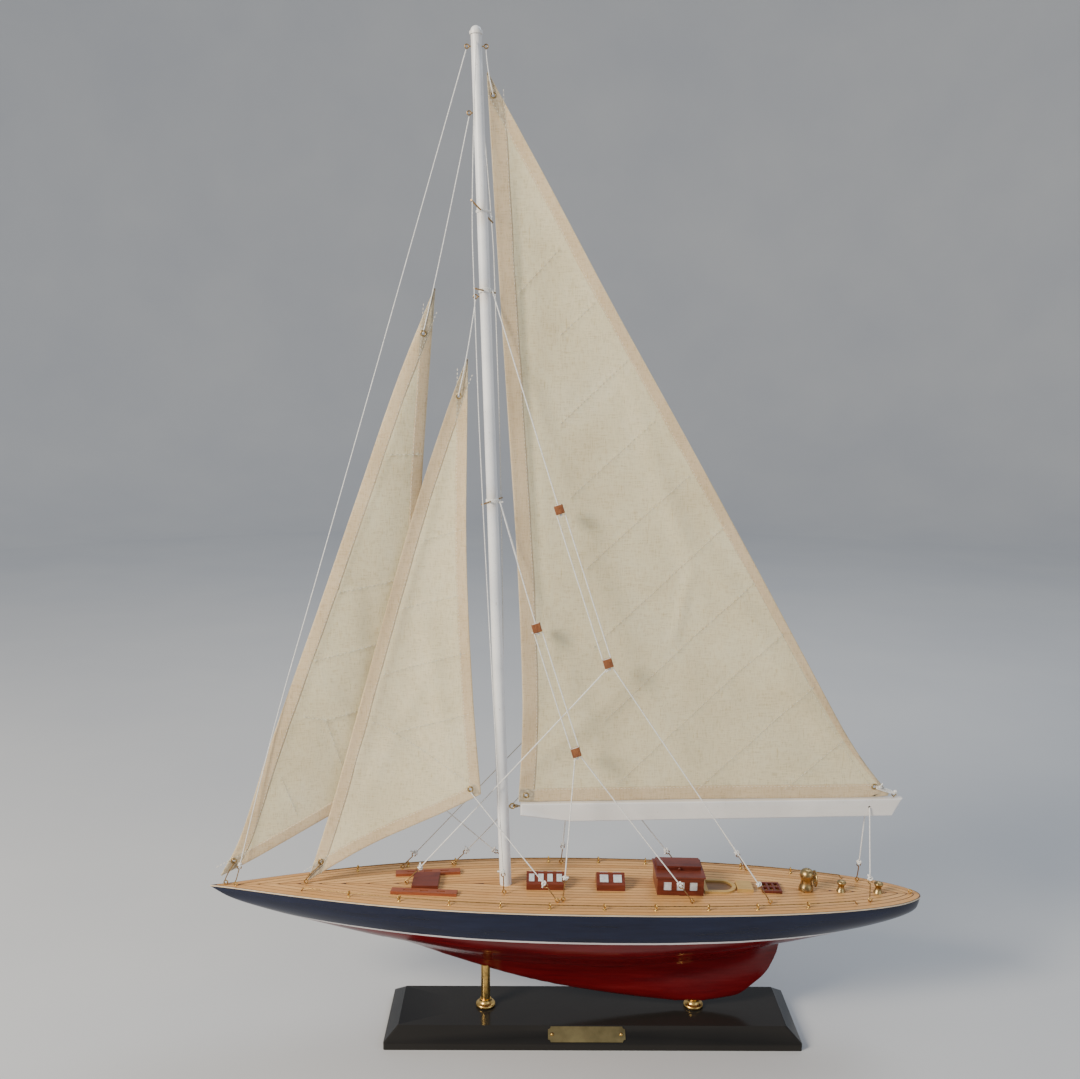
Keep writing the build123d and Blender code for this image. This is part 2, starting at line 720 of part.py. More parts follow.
with BuildPart() as mainsail:
    sail(mainsail_plane, mainsail_luff, mainsail_leech, mainsail_foot, straight_foot=True)
    grommet_holes(mainsail_plane, mainsail_grommets_at)
mainsail.part.label = "mainsail"

with BuildPart() as mainsail_grommets:
    grommets(mainsail_plane, mainsail_grommets_at)
mainsail_grommets.part.label = "mainsail_grommets"

with BuildPart() as staysail:
    sail(staysail_plane, staysail_luff, staysail_leech, staysail_foot)
    grommet_holes(staysail_plane, staysail_grommets_at)
staysail.part.label = "staysail"

with BuildPart() as jib:
    sail(jib_plane, jib_luff, jib_leech, jib_foot)
    grommet_holes(jib_plane, jib_grommets_at)
jib.part.label = "jib"

with BuildPart() as headsail_grommets:
    grommets(staysail_plane, staysail_grommets_at)
    grommets(jib_plane, jib_grommets_at)
headsail_grommets.part.label = "headsail_grommets"


# ---------------------------------------------------------------- deck furniture
def deck_strip(side):
    """Add one slotted strip beside the fore hatch; side is -1 to port and 1 to starboard."""
    plane = deck_plane(strip_x, side * strip_y).rotated((0, 0, side * strip_splay))
    with Locations(plane):
        Box(strip_length, strip_width, strip_thickness, align=(Align.CENTER, Align.CENTER, Align.MIN))
        with GridLocations(slot_pitch, 0, 3, 1):
            Box(slot_length, slot_width, 4 * strip_thickness, mode=Mode.SUBTRACT)


with BuildPart() as deck_strip_port:
    deck_strip(-1)
deck_strip_port.part.label = "deck_strip_port"

with BuildPart() as deck_strip_starboard:
    deck_strip(1)
deck_strip_starboard.part.label = "deck_strip_starboard"

with BuildPart() as fore_hatch:
    with BuildSketch(deck_plane(strip_x)):
        half = hatch_length / 2
        inner_edge = strip_y - strip_width / 2 / cos(radians(strip_splay)) - hatch_gap
        fore_half = inner_edge - half * tan(radians(strip_splay))
        aft_half = inner_edge + half * tan(radians(strip_splay)) - 2 * hatch_gap
        Polygon((-half, -fore_half), (half, -aft_half), (half, aft_half), (-half, fore_half), align=None)
    extrude(amount=hatch_height)
    fillet(fore_hatch.edges().group_by(Axis.Z)[-1], 0.6)
fore_hatch.part.label = "fore_hatch"

skylights = [(fore_skylight_x, fore_skylight_length, 4, 4.4), (aft_skylight_x, aft_skylight_length, 2, 7.0)]


def skylight(x, length):
    """Add a house-shaped skylight with a ridge along the ship and a hollow underneath."""
    plane = deck_plane(x)
    half = skylight_width / 2
    side_plane = Plane(origin=plane.origin, x_dir=(0, 1, 0), z_dir=plane.x_dir)
    for inset, lift, mode in ((0, 0, Mode.ADD), (skylight_board, -skylight_board, Mode.SUBTRACT)):
        with BuildSketch(side_plane) as gable:
            Polygon((-half + inset, min(lift, 0)), (half - inset, min(lift, 0)),
                    (half - inset, skylight_wall + lift), (0, skylight_ridge + lift),
                    (-half + inset, skylight_wall + lift), align=None)
        extrude(gable.sketch, amount=length / 2 - inset, both=True, mode=mode)


def slope_plane(x, side, lift=0.0):
    """Plane on one slope of a skylight's roof, its X axis along the ship."""
    plane = deck_plane(x)
    half = skylight_width / 2
    middle = plane.from_local_coords(Vector(0, side * half / 2, (skylight_ridge + skylight_wall) / 2))
    normal = plane.y_dir * (side * (skylight_ridge - skylight_wall)) + plane.z_dir * half
    return Plane(origin=middle, x_dir=plane.x_dir, z_dir=normal).offset(lift)


with BuildPart() as fore_skylight:
    skylight(fore_skylight_x, fore_skylight_length)
fore_skylight.part.label = "fore_skylight"

with BuildPart() as aft_skylight:
    skylight(aft_skylight_x, aft_skylight_length)
aft_skylight.part.label = "aft_skylight"

with BuildPart() as skylight_panes:
    for x, length, count, width in skylights:
        for side in (-1, 1):
            with Locations(slope_plane(x, side, 0.02)):
                with GridLocations((length - 1.0) / count, 0, count, 1):
                    Box(width, pane_height, pane_thickness, align=(Align.CENTER, Align.CENTER, Align.MIN))
skylight_panes.part.label = "skylight_panes"

with BuildPart() as deckhouse:
    deck_box(house_x, 0, house_length, house_width, house_height)
    inner_height = house_height - house_wall
    with Locations(deck_plane(house_x)):
        Box(house_length - 2 * house_wall, house_width - 2 * house_wall, inner_height,
            align=(Align.CENTER, Align.CENTER, Align.MIN), mode=Mode.SUBTRACT)
        for side in (-1, 1):
            with Locations((0, side * (house_width / 2 - house_wall / 2), window_lift)):
                with GridLocations(window_pitch, 0, 3, 1):
                    Box(window_width, house_wall + 1, window_height, mode=Mode.SUBTRACT)
deckhouse.part.label = "deckhouse"

with BuildPart() as deckhouse_windows:
    with Locations(deck_plane(house_x)):
        for side in (-1, 1):
            with Locations((0, side * (house_width / 2 - house_wall / 2), window_lift)):
                with GridLocations(window_pitch, 0, 3, 1):
                    Box(window_width, house_wall / 2, window_height)
deckhouse_windows.part.label = "deckhouse_windows"

with BuildPart() as deckhouse_roof:
    deck_box(house_x, 0, house_length + 2 * roof_overhang, house_width + 2 * roof_overhang,
             roof_thickness, house_height)
    fillet(deckhouse_roof.edges().filter_by(Axis.Z, reverse=True).group_by(Axis.Z)[-1], 0.4)
deckhouse_roof.part.label = "deckhouse_roof"

with BuildPart() as sliding_hatch:
    lift = house_height + roof_thickness
    deck_box(house_x, slide_y, slide_length, slide_width, slide_height, lift)
    with Locations(deck_plane(house_x, slide_y - slide_width / 2, lift + slide_height * 0.55)):
        with Locations(Location((0, 0, 0), (90, 0, 0))):
            Cylinder(0.5, 1.6, align=(Align.CENTER, Align.CENTER, Align.MIN))
        with Locations((0, -1.8, 0)):
            Sphere(1.0)
sliding_hatch.part.label = "sliding_hatch"

with BuildPart() as cockpit_coaming:
    straight = coaming_length - coaming_width / 2
    for band, mode in ((0, Mode.ADD), (coaming_band, Mode.SUBTRACT)):
        with BuildSketch(deck_plane(coaming_x - coaming_length / 2)) as ring:
            half = coaming_width / 2 - band
            with BuildLine():
                Line((band, -half), (straight, -half))
                ThreePointArc((straight, -half), (straight + half, 0), (straight, half))
                Polyline((straight, half), (band, half), (band, -half))
            make_face()
        extrude(ring.sketch, amount=coaming_height, mode=mode)
cockpit_coaming.part.label = "cockpit_coaming"

with BuildPart() as cockpit_floor:
    half = coaming_width / 2 - coaming_band - running_clearance
    start = coaming_band + running_clearance
    with BuildSketch(deck_plane(coaming_x - coaming_length / 2)):
        with BuildLine():
            Line((start, -half), (straight, -half))
            ThreePointArc((straight, -half), (straight + half, 0), (straight, half))
            Polyline((straight, half), (start, half), (start, -half))
        make_face()
    extrude(amount=0.4)
cockpit_floor.part.label = "cockpit_floor"

with BuildPart() as aft_hatch:
    deck_box(aft_hatch_x, 0, aft_hatch_length, aft_hatch_width, aft_hatch_height)
    fillet(aft_hatch.edges().group_by(Axis.Z)[-1], 0.5)
aft_hatch.part.label = "aft_hatch"

with BuildPart() as grating:
    deck_box(grating_x, 0, grating_length, grating_width, grating_height)
    hole_length = (grating_length - 4 * grating_bar) / 3
    hole_width = (grating_width - 3 * grating_bar) / 2
    with Locations(deck_plane(grating_x)):
        with GridLocations(hole_length + grating_bar, hole_width + grating_bar, 3, 2):
            Box(hole_length, hole_width, 4 * grating_height, mode=Mode.SUBTRACT)
grating.part.label = "grating"


def turned(x, profile):
    """Add a turned fitting on the deck from (radius, height) points, the last on its axis."""
    foot = deck_plane(x)
    with BuildSketch(Plane(origin=foot.origin, x_dir=foot.x_dir, z_dir=-foot.y_dir)) as half:
        with BuildLine():
            Polyline((0, profile[-1][1]), (0, 0), profile[0])
            Spline(*profile)
        make_face()
    revolve(half.sketch, axis=Axis(foot.origin, foot.z_dir))


with BuildPart() as binnacle:
    r, h = binnacle_radius, binnacle_height
    turned(binnacle_x, [(r, 0), (r, 0.14 * h), (0.78 * r, 0.36 * h), (0.8 * r, 0.52 * h),
                        (r, 0.74 * h), (0.78 * r, 0.93 * h), (0, h)])
    axle_start = on_deck(binnacle_x, 0, wheel_lift)
    wheel_x = binnacle_x + binnacle_radius + wheel_gap + wheel_rim_radius
    rod(axle_start, (wheel_x + 1.6, 0, axle_start[2]), axle_radius)
binnacle.part.label = "binnacle"

with BuildPart() as steering_wheel:
    hub = Plane(origin=(wheel_x, 0, sheer(binnacle_x) + wheel_lift), x_dir=(0, 0, 1), z_dir=(1, 0, 0))
    with Locations(hub):
        Torus(wheel_radius - wheel_rim_radius, wheel_rim_radius)
        Cylinder(axle_radius + 1.1, 1.4)
        with PolarLocations(0, 6):
            with Locations(Location((wheel_radius / 2, 0, 0), (0, 90, 0))):
                Cylinder(0.45, wheel_radius - wheel_rim_radius)
        Cylinder(axle_radius + running_clearance, 6, mode=Mode.SUBTRACT)
steering_wheel.part.label = "steering_wheel"

with BuildPart() as winches:
    for x in (winch_fore_x, winch_aft_x):
        r, h = winch_radius, winch_height
        turned(x, [(r, 0), (0.8 * r, 0.2 * h), (0.62 * r, 0.48 * h), (0.85 * r, 0.7 * h),
                   (0.98 * r, 0.82 * h), (0.7 * r, 0.96 * h), (0, h)])
winches.part.label = "winches"


# ---------------------------------------------------------------- rails
def rail(side):
    """Add a wire that runs through the stanchions and bends down to the deck at its ends."""
    fore, aft = rail_ends
    points = [rail_point(fore, side, 0.3), rail_point(fore + 0.008, side, rail_lift)]
    points += [rail_point(share, side, rail_lift) for share in stanchion_shares]
    points += [rail_point(aft - 0.008, side, rail_lift), rail_point(aft, side, 0.3)]
    line_through(points, rail_wire_radius, [1.2] + [60.0] * (len(points) - 4) + [1.2])


with BuildPart() as rail_port:
    rail(-1)
rail_port.part.label = "rail_port"

with BuildPart() as rail_starboard:
    rail(1)
rail_starboard.part.label = "rail_starboard"

with BuildPart() as stanchions:
    for share in stanchion_shares:
        for side in (-1, 1):
            x, y, z = rail_point(share, side, rail_lift)
            ahead = Vector(*rail_point(share + 0.02, side)) - Vector(*rail_point(share - 0.02, side))
            with Locations(Plane(origin=(x, y, z), z_dir=ahead)):
                Torus(stanchion_ring, stanchion_wire)
            rod((x, y, z - stanchion_ring), (x, y, sheer(x) - eye_shank), stanchion_wire)
            with Locations((x, y, sheer(x) + 0.05)):
                Cylinder(1.0, 0.5, align=(Align.CENTER, Align.CENTER, Align.MIN))
stanchions.part.label = "stanchions"


# ---------------------------------------------------------------- rigging
def eye_point(x, y):
    """Ring centre of a screw eye in the deck."""
    return Vector(*on_deck(x, y, eye_lift))


def hook_top(eye, toward):
    """Centre of a hook's upper ring, on the line from its eye to where its cord goes."""
    reach = (Vector(*toward) - eye).normalized()
    return eye + reach * hook_length


def hook(eye, toward):
    """Add a wire hook that stands on a screw eye and holds a cord's knot."""
    reach = (Vector(*toward) - eye).normalized()
    top = hook_top(eye, toward)
    rod(eye + reach * (eye_radius + 2 * wire_radius + 0.1), top - reach * eye_radius, wire_radius)
    with Locations(Plane(origin=top, x_dir=reach, z_dir=reach.cross(Vector(0, 1, 0)).cross(reach))):
        Torus(eye_radius, wire_radius)


def cord_from_hook(eye, toward, radius=cord_radius):
    """Add a cord from the knot on a hook's ring to a point above."""
    reach = (Vector(*toward) - eye).normalized()
    knot = hook_top(eye, toward) + reach * knot_reach
    with Locations(knot):
        Sphere(knot_radius)
    rod(knot, toward, radius)


def block_plane(place, above):
    """Plane in a block's middle, Z towards the cord above it."""
    up = Vector(*above) - Vector(*place)
    return Plane(origin=place, x_dir=Vector(0, 1, 0).cross(up), z_dir=up)


def runner_start(z, side):
    return (mast_axis(z)[0] + mast_radius(z) + band_thickness + 0.8, side * 2.0, z)


runner_blocks = {
    "upper": (middle_crosstree_z, (-8.8, 13.0, 446.0), (31.3, 19.0, 323.0)),
    "lower": (lower_crosstree_z, (-26.0, 12.0, 350.0), (6.5, 20.0, 249.0)),
}
runner_eyes = {
    ("upper", -1): [hatch_eye, port_eyes[2]],
    ("lower", -1): [port_eyes[0], port_eyes[1]],
    ("upper", 1): [starboard_eyes[0], starboard_eyes[4]],
    ("lower", 1): [starboard_eyes[1], starboard_eyes[2], starboard_eyes[3]],
}


def runner_places(name, side):
    """Start at the mast, upper block plane and lower block plane of one runner."""
    z, high, low = runner_blocks[name]
    start = runner_start(z, side)
    high = (high[0], side * high[1], high[2])
    low = (low[0], side * low[1], low[2])
    return start, block_plane(high, start), block_plane(low, high)


def leg_start(low_plane, eye):
    """Where a runner's leg leaves the lower block, on the side nearest its eye."""
    lean = 1 if (eye - low_plane.origin).dot(low_plane.x_dir) > 0 else -1
    return low_plane.origin + low_plane.x_dir * (lean * 2.4) - low_plane.z_dir * (block_size / 2 + 0.6)


def runner_hooks(name, side):
    """Eye ring centre and cord end for each leg of one runner."""
    low_plane = runner_places(name, side)[2]
    legs = []
    for place in runner_eyes[(name, side)]:
        eye = eye_point(*place)
        legs.append((eye, leg_start(low_plane, eye)))
    return legs


def runner(name, side):
    """Add a runner: one part from the mast, two between its blocks, and its legs."""
    start, high, low = runner_places(name, side)
    half = block_size / 2 + 0.05
    rod(start, high.origin + high.z_dir * half, cord_radius)
    for across in (-1, 1):
        shift = low.x_dir * (across * (block_size / 2 - cord_radius))
        fall_top = high.origin + shift - low.z_dir * half * 1.12
        rod(fall_top, low.origin + shift + low.z_dir * half, cord_radius)
    for eye, top in runner_hooks(name, side):
        cord_from_hook(eye, top)


with BuildPart() as blocks:
    for name in runner_blocks:
        for side in (-1, 1):
            for plane in runner_places(name, side)[1:]:
                with Locations(plane):
                    Box(block_size, block_size * 0.8, block_size)
                    with Locations(Location((0, 0, 0), (90, 0, 0))):
                        Cylinder(0.9, 2 * block_size, mode=Mode.SUBTRACT)
blocks.part.label = "blocks"

staysail_sheet_start = staysail_plane.from_local_coords(Vector(108.0, 122.5, cord_beside))
jib_sheet_start = jib_plane.from_local_coords(Vector(108.0, 133.0, -cord_beside))

shroud_radii = [8.0, 8.0, 8.0]


def shroud(side):
    """Add a shroud from the masthead round the three crosstree tips to its hook."""
    top_z = masthead_eye_z + 2
    start = Vector(mast_axis(top_z)[0], side * (mast_radius(top_z) + 1.0), top_z)
    outward = Vector(0, side * (crosstree_radius + thin_cord_radius + 0.1), 0)
    tips = [crosstree_tip(z, side) + outward
            for z in (upper_crosstree_z, middle_crosstree_z, lower_crosstree_z)]
    eye = eye_point(*shroud_eyes[(side + 1) // 2])
    reach = (tips[-1] - eye).normalized()
    knot = hook_top(eye, tips[-1]) + reach * knot_reach
    line_through([start, *tips, knot], thin_cord_radius, shroud_radii)
    with Locations(knot):
        Sphere(knot_radius)


def mainsheet(side):
    """Add one sheet from the boom's hole to the knot above its hook."""
    cord_from_hook(eye_point(*mainsheet_eyes[(side + 1) // 2]), mainsheet_start(side))


def mainsheet_start(side):
    return Vector(sheet_hole_x, side * (boom_width / 2 + 0.7), boom_top(sheet_hole_x) - sheet_hole_drop)


def tack_hook(eye, plane, grommet):
    """Add a straight hook beside a headsail, from its eye to the tack's grommet."""
    beside = Vector(0, -1.9, 0)
    place = plane.from_local_coords(Vector(grommet[0], grommet[1], 0))
    low = eye + Vector(0, -eye_wire_radius - wire_radius - 0.5, 0)
    rod(low, place + beside, wire_radius)


with BuildPart() as deck_eyes:
    for x, y in eye_places:
        screw_eye(x, y)
deck_eyes.part.label = "deck_eyes"

forestay_foot = eye_point(*forestay_eye)
forestay_head = Vector(*eye_beside_mast(masthead_eye_z, -1)) + Vector(-0.6, 0, -eye_radius - 1.0)
forestay_bends = [forestay_foot + (forestay_head - forestay_foot) * share + Vector(slack, 0, 0)
                  for share, slack in ((0.191, -4.8), (0.413, -2.2))]

with BuildPart() as rigging_hooks:
    for name, side in runner_eyes:
        for eye, top in runner_hooks(name, side):
            hook(eye, top)
    hook(eye_point(*staysail_sheet_eye), staysail_sheet_start)
    hook(eye_point(*jib_sheet_eye), jib_sheet_start)
    for i, side in enumerate((-1, 1)):
        hook(eye_point(*shroud_eyes[i]), crosstree_tip(lower_crosstree_z, side))
        hook(eye_point(*mainsheet_eyes[i]), mainsheet_start(side))
    hook(forestay_foot, forestay_bends[0])
    tack_hook(eye_point(*jib_eye), jib_plane, jib_grommets_at[1])
    tack_hook(eye_point(*staysail_eye), staysail_plane, staysail_grommets_at[1])
rigging_hooks.part.label = "rigging_hooks"

with BuildPart() as shrouds:
    shroud(-1)
    shroud(1)
shrouds.part.label = "shrouds"

with BuildPart() as forestay:
    reach = (forestay_bends[0] - forestay_foot).normalized()
    knot = hook_top(forestay_foot, forestay_bends[0]) + reach * knot_reach
    line_through([knot, *forestay_bends, forestay_head], thin_cord_radius, [150.0, 150.0])
    with Locations(knot):
        Sphere(knot_radius)
forestay.part.label = "forestay"


def halyard(eye_z, side, plane, head, grommet, beside):
    """Add a halyard from its mast eye past the head of a sail to the sail's grommet."""
    start = Vector(*eye_beside_mast(eye_z, side)) + Vector(0, 0, -eye_radius - 1.1)
    offset = Vector(0, beside, 0)
    head_point = plane.from_local_coords(Vector(head[0], head[1], 0)) + offset
    end = plane.from_local_coords(Vector(grommet[0], grommet[1], 0)) + offset
    line_through([start, head_point, end], thin_cord_radius, [10.0])


with BuildPart() as jib_halyard:
    halyard(jib_halyard_eye_z, -1, jib_plane, jib_luff[-1], jib_grommets_at[0], -1.9)
jib_halyard.part.label = "jib_halyard"

with BuildPart() as staysail_halyard:
    halyard(staysail_halyard_eye_z, -1, staysail_plane, staysail_luff[-1], staysail_grommets_at[0], -1.9)
staysail_halyard.part.label = "staysail_halyard"

with BuildPart() as main_halyard:
    start = Vector(*eye_beside_mast(masthead_eye_z, 1)) + Vector(0, 0, -eye_radius - 1.1)
    line_through([start, Vector(mainsail_head[0], -1.7, mainsail_head[1] + 1),
                  Vector(mainsail_grommets_at[0][0], -1.9, mainsail_grommets_at[0][1])],
                 thin_cord_radius, [4.0])
main_halyard.part.label = "main_halyard"

with BuildPart() as upper_runner_port:
    runner("upper", -1)
upper_runner_port.part.label = "upper_runner_port"

with BuildPart() as lower_runner_port:
    runner("lower", -1)
lower_runner_port.part.label = "lower_runner_port"

with BuildPart() as upper_runner_starboard:
    runner("upper", 1)
upper_runner_starboard.part.label = "upper_runner_starboard"

with BuildPart() as lower_runner_starboard:
    runner("lower", 1)
lower_runner_starboard.part.label = "lower_runner_starboard"

with BuildPart() as staysail_sheet:
    cord_from_hook(eye_point(*staysail_sheet_eye), staysail_sheet_start)
staysail_sheet.part.label = "staysail_sheet"

with BuildPart() as jib_sheet:
    cord_from_hook(eye_point(*jib_sheet_eye), jib_sheet_start)
jib_sheet.part.label = "jib_sheet"

with BuildPart() as mainsheet_port:
    mainsheet(-1)
mainsheet_port.part.label = "mainsheet_port"

with BuildPart() as mainsheet_starboard:
    mainsheet(1)
mainsheet_starboard.part.label = "mainsheet_starboard"

with BuildPart() as clew_lashing:
    corner_x, corner_z = mainsail_grommets_at[2]
    rod((corner_x + 1.5, -1.9, corner_z), (clew_eye_x - 1.5, -1.9, boom_top(clew_eye_x) + 3.2), cord_radius)
    with Locations((clew_eye_x - 1.0, -1.9, boom_top(clew_eye_x) + 3.2)):
        Sphere(knot_radius - 0.2)
clew_lashing.part.label = "clew_lashing"


# ---------------------------------------------------------------- one file for each piece
pieces = [
    base_plinth, nameplate, nameplate_pins, pillar_front, pillar_rear, stand_screws, hull, deck,
    mast, mast_cap, mast_bands, lower_crosstree, middle_crosstree, upper_crosstree, mast_eyes,
    gooseneck_eye, boom, boom_eyes, mainsail, mainsail_grommets, staysail, jib, headsail_grommets,
    deck_strip_port, deck_strip_starboard, fore_hatch, fore_skylight, aft_skylight, skylight_panes,
    deckhouse, deckhouse_windows, deckhouse_roof, sliding_hatch, cockpit_coaming, cockpit_floor,
    aft_hatch, grating, binnacle, steering_wheel, winches, rail_port, rail_starboard, stanchions,
    deck_eyes, rigging_hooks, blocks, shrouds, forestay, jib_halyard, staysail_halyard,
    main_halyard, upper_runner_port, lower_runner_port, upper_runner_starboard,
    lower_runner_starboard, staysail_sheet, jib_sheet, mainsheet_port, mainsheet_starboard,
    clew_lashing,
]
os.makedirs("parts", exist_ok=True)
for piece in pieces:
    export_step(piece.part, f"parts/{piece.part.label}.step")
print(len(pieces), "pieces written")
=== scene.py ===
import math
import random

import bmesh
import bpy
from mathutils import Matrix, Vector
from mathutils import noise


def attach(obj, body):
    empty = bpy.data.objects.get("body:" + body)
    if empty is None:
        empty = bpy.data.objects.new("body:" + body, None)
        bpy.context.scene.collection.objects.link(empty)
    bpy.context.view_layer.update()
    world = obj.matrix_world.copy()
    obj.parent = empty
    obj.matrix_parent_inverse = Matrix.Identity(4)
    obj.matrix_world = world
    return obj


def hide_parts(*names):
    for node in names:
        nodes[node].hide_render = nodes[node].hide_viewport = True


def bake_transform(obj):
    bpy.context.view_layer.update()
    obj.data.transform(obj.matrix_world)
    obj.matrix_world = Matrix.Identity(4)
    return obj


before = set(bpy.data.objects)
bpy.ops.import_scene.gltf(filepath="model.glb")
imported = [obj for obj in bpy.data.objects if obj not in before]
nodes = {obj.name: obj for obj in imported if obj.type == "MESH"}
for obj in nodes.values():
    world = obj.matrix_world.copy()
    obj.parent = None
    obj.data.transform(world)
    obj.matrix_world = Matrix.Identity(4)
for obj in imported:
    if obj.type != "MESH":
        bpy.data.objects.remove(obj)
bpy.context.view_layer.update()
HULL = "hull_and_rig"
BOOM = "boom_and_mainsail"
WHEEL = "wheel"
MM = 0.001
HALF_LENGTH = 300.0
HALF_BEAM = 52.5
DECK_HEIGHT = 126.0
MAST_FOOT = -50.8
MAST_TOP = 804.0
MAST_RADII = (4.9, 4.1)
MAST_RAKE = math.radians(2.0)
BOOM_ENDS = (-38.6, 279.5)
scene = bpy.context.scene


# ---------------------------------------------------------------- camera
def make_camera():
    yaw, pitch, roll = math.radians(0.37), math.radians(8.65), math.radians(0.39)
    ahead = Vector((math.sin(yaw) * math.cos(pitch), math.cos(yaw) * math.cos(pitch), -math.sin(pitch)))
    right = Vector((math.cos(yaw), -math.sin(yaw), 0.0))
    up = right.cross(ahead)
    right_rolled = right * math.cos(roll) + up * math.sin(roll)
    up_rolled = up * math.cos(roll) - right * math.sin(roll)
    data = bpy.data.cameras.new("camera")
    data.lens = 36.93
    data.sensor_width = 36.0
    camera = bpy.data.objects.new("camera", data)
    scene.collection.objects.link(camera)
    turn = Matrix((right_rolled, up_rolled, -ahead)).transposed().to_4x4()
    camera.matrix_world = Matrix.Translation((-0.0295, -0.881, 0.5541)) @ turn
    scene.camera = camera


make_camera()


# ---------------------------------------------------------------- materials
def new_material(name):
    material = bpy.data.materials.new(name)
    material.use_nodes = True
    tree = material.node_tree
    return material, tree, tree.nodes["Principled BSDF"]


def put(tree, socket, value):
    """Link a socket to an output, or set its value."""
    if hasattr(value, "links"):
        tree.links.new(value, socket)
    else:
        socket.default_value = value


def add(tree, kind, values=None, **settings):
    node = tree.nodes.new(kind)
    for key, value in settings.items():
        setattr(node, key, value)
    for key, value in (values or {}).items():
        put(tree, node.inputs[key], value)
    return node


def place_of(tree):
    return add(tree, "ShaderNodeTexCoord").outputs["Object"]


def stretched(tree, scale):
    mapping = add(tree, "ShaderNodeMapping", {"Vector": place_of(tree), "Scale": scale})
    return mapping.outputs["Vector"]


def noise_of(tree, scale, detail=4.0, rough=0.55, vector=None, distortion=0.0):
    node = add(tree, "ShaderNodeTexNoise",
               {"Vector": vector or place_of(tree), "Scale": scale, "Detail": detail,
                "Roughness": rough, "Distortion": distortion})
    return node.outputs["Fac"]


def ramp(tree, value, stops, interpolation="LINEAR"):
    node = add(tree, "ShaderNodeValToRGB", {"Fac": value})
    node.color_ramp.interpolation = interpolation
    elements = node.color_ramp.elements
    while len(elements) > 1:
        elements.remove(elements[-1])
    for i, (place, colour) in enumerate(stops):
        element = elements[0] if i == 0 else elements.new(place)
        element.position = place
        element.color = (*colour, 1.0)
    return node.outputs["Color"]


def mix(tree, share, first, second, kind="MIX"):
    node = add(tree, "ShaderNodeMix", data_type="RGBA", blend_type=kind)
    for socket, value in ((node.inputs[0], share), (node.inputs[6], first), (node.inputs[7], second)):
        put(tree, socket, (*value, 1.0) if isinstance(value, tuple) else value)
    return node.outputs[2]


def maths(tree, operation, first, second=0.0, third=0.0):
    node = add(tree, "ShaderNodeMath", operation=operation)
    for socket, value in zip(node.inputs, (first, second, third)):
        put(tree, socket, value)
    return node.outputs[0]


def bump(tree, shader, height, distance, strength=0.5, before=None):
    node = add(tree, "ShaderNodeBump", {"Height": height, "Distance": distance, "Strength": strength})
    if before is not None:
        tree.links.new(before, node.inputs["Normal"])
    tree.links.new(node.outputs["Normal"], shader.inputs["Normal"])
    return node.outputs["Normal"]


def ranged(tree, value, low, high):
    node = add(tree, "ShaderNodeMapRange", {"Value": value, "To Min": low, "To Max": high})
    return node.outputs["Result"]


def worn_edges(tree, radius):
    """1 on sharp outward edges and 0 on flats, from the shape itself."""
    point = add(tree, "ShaderNodeNewGeometry").outputs["Pointiness"]
    return ramp(tree, point, [(0.0, (0, 0, 0)), (0.52, (0, 0, 0)), (0.52 + radius, (1, 1, 1))])


def brass_material(name, light=(0.72, 0.47, 0.15), dark=(0.30, 0.17, 0.05), rough=(0.16, 0.42), scale=260.0):
    material, tree, shader = new_material(name)
    tarnish = noise_of(tree, scale, 5.0)
    tree.links.new(ramp(tree, tarnish, [(0.25, dark), (0.52, light), (0.8, light)]),
                   shader.inputs["Base Color"])
    shader.inputs["Metallic"].default_value = 1.0
    tree.links.new(ranged(tree, noise_of(tree, scale * 0.6, 4.0), *rough), shader.inputs["Roughness"])
    bump(tree, shader, noise_of(tree, scale * 5, 2.0), 0.0001, 0.15)
    return material


def lacquer_material():
    material, tree, shader = new_material("black_lacquer")
    cloud = noise_of(tree, 14.0, 4.0)
    base = ramp(tree, cloud, [(0.3, (0.0022, 0.0022, 0.0024)), (0.7, (0.0060, 0.0056, 0.0052))])
    edge = worn_edges(tree, 0.05)
    tree.links.new(mix(tree, maths(tree, "MULTIPLY", edge, 0.35), base, (0.05, 0.045, 0.04)),
                   shader.inputs["Base Color"])
    tree.links.new(ranged(tree, noise_of(tree, 60.0, 5.0), 0.06, 0.24), shader.inputs["Roughness"])
    shader.inputs["Specular IOR Level"].default_value = 0.20
    bump(tree, shader, noise_of(tree, 900.0, 2.0), 0.00012, 0.35)
    return material


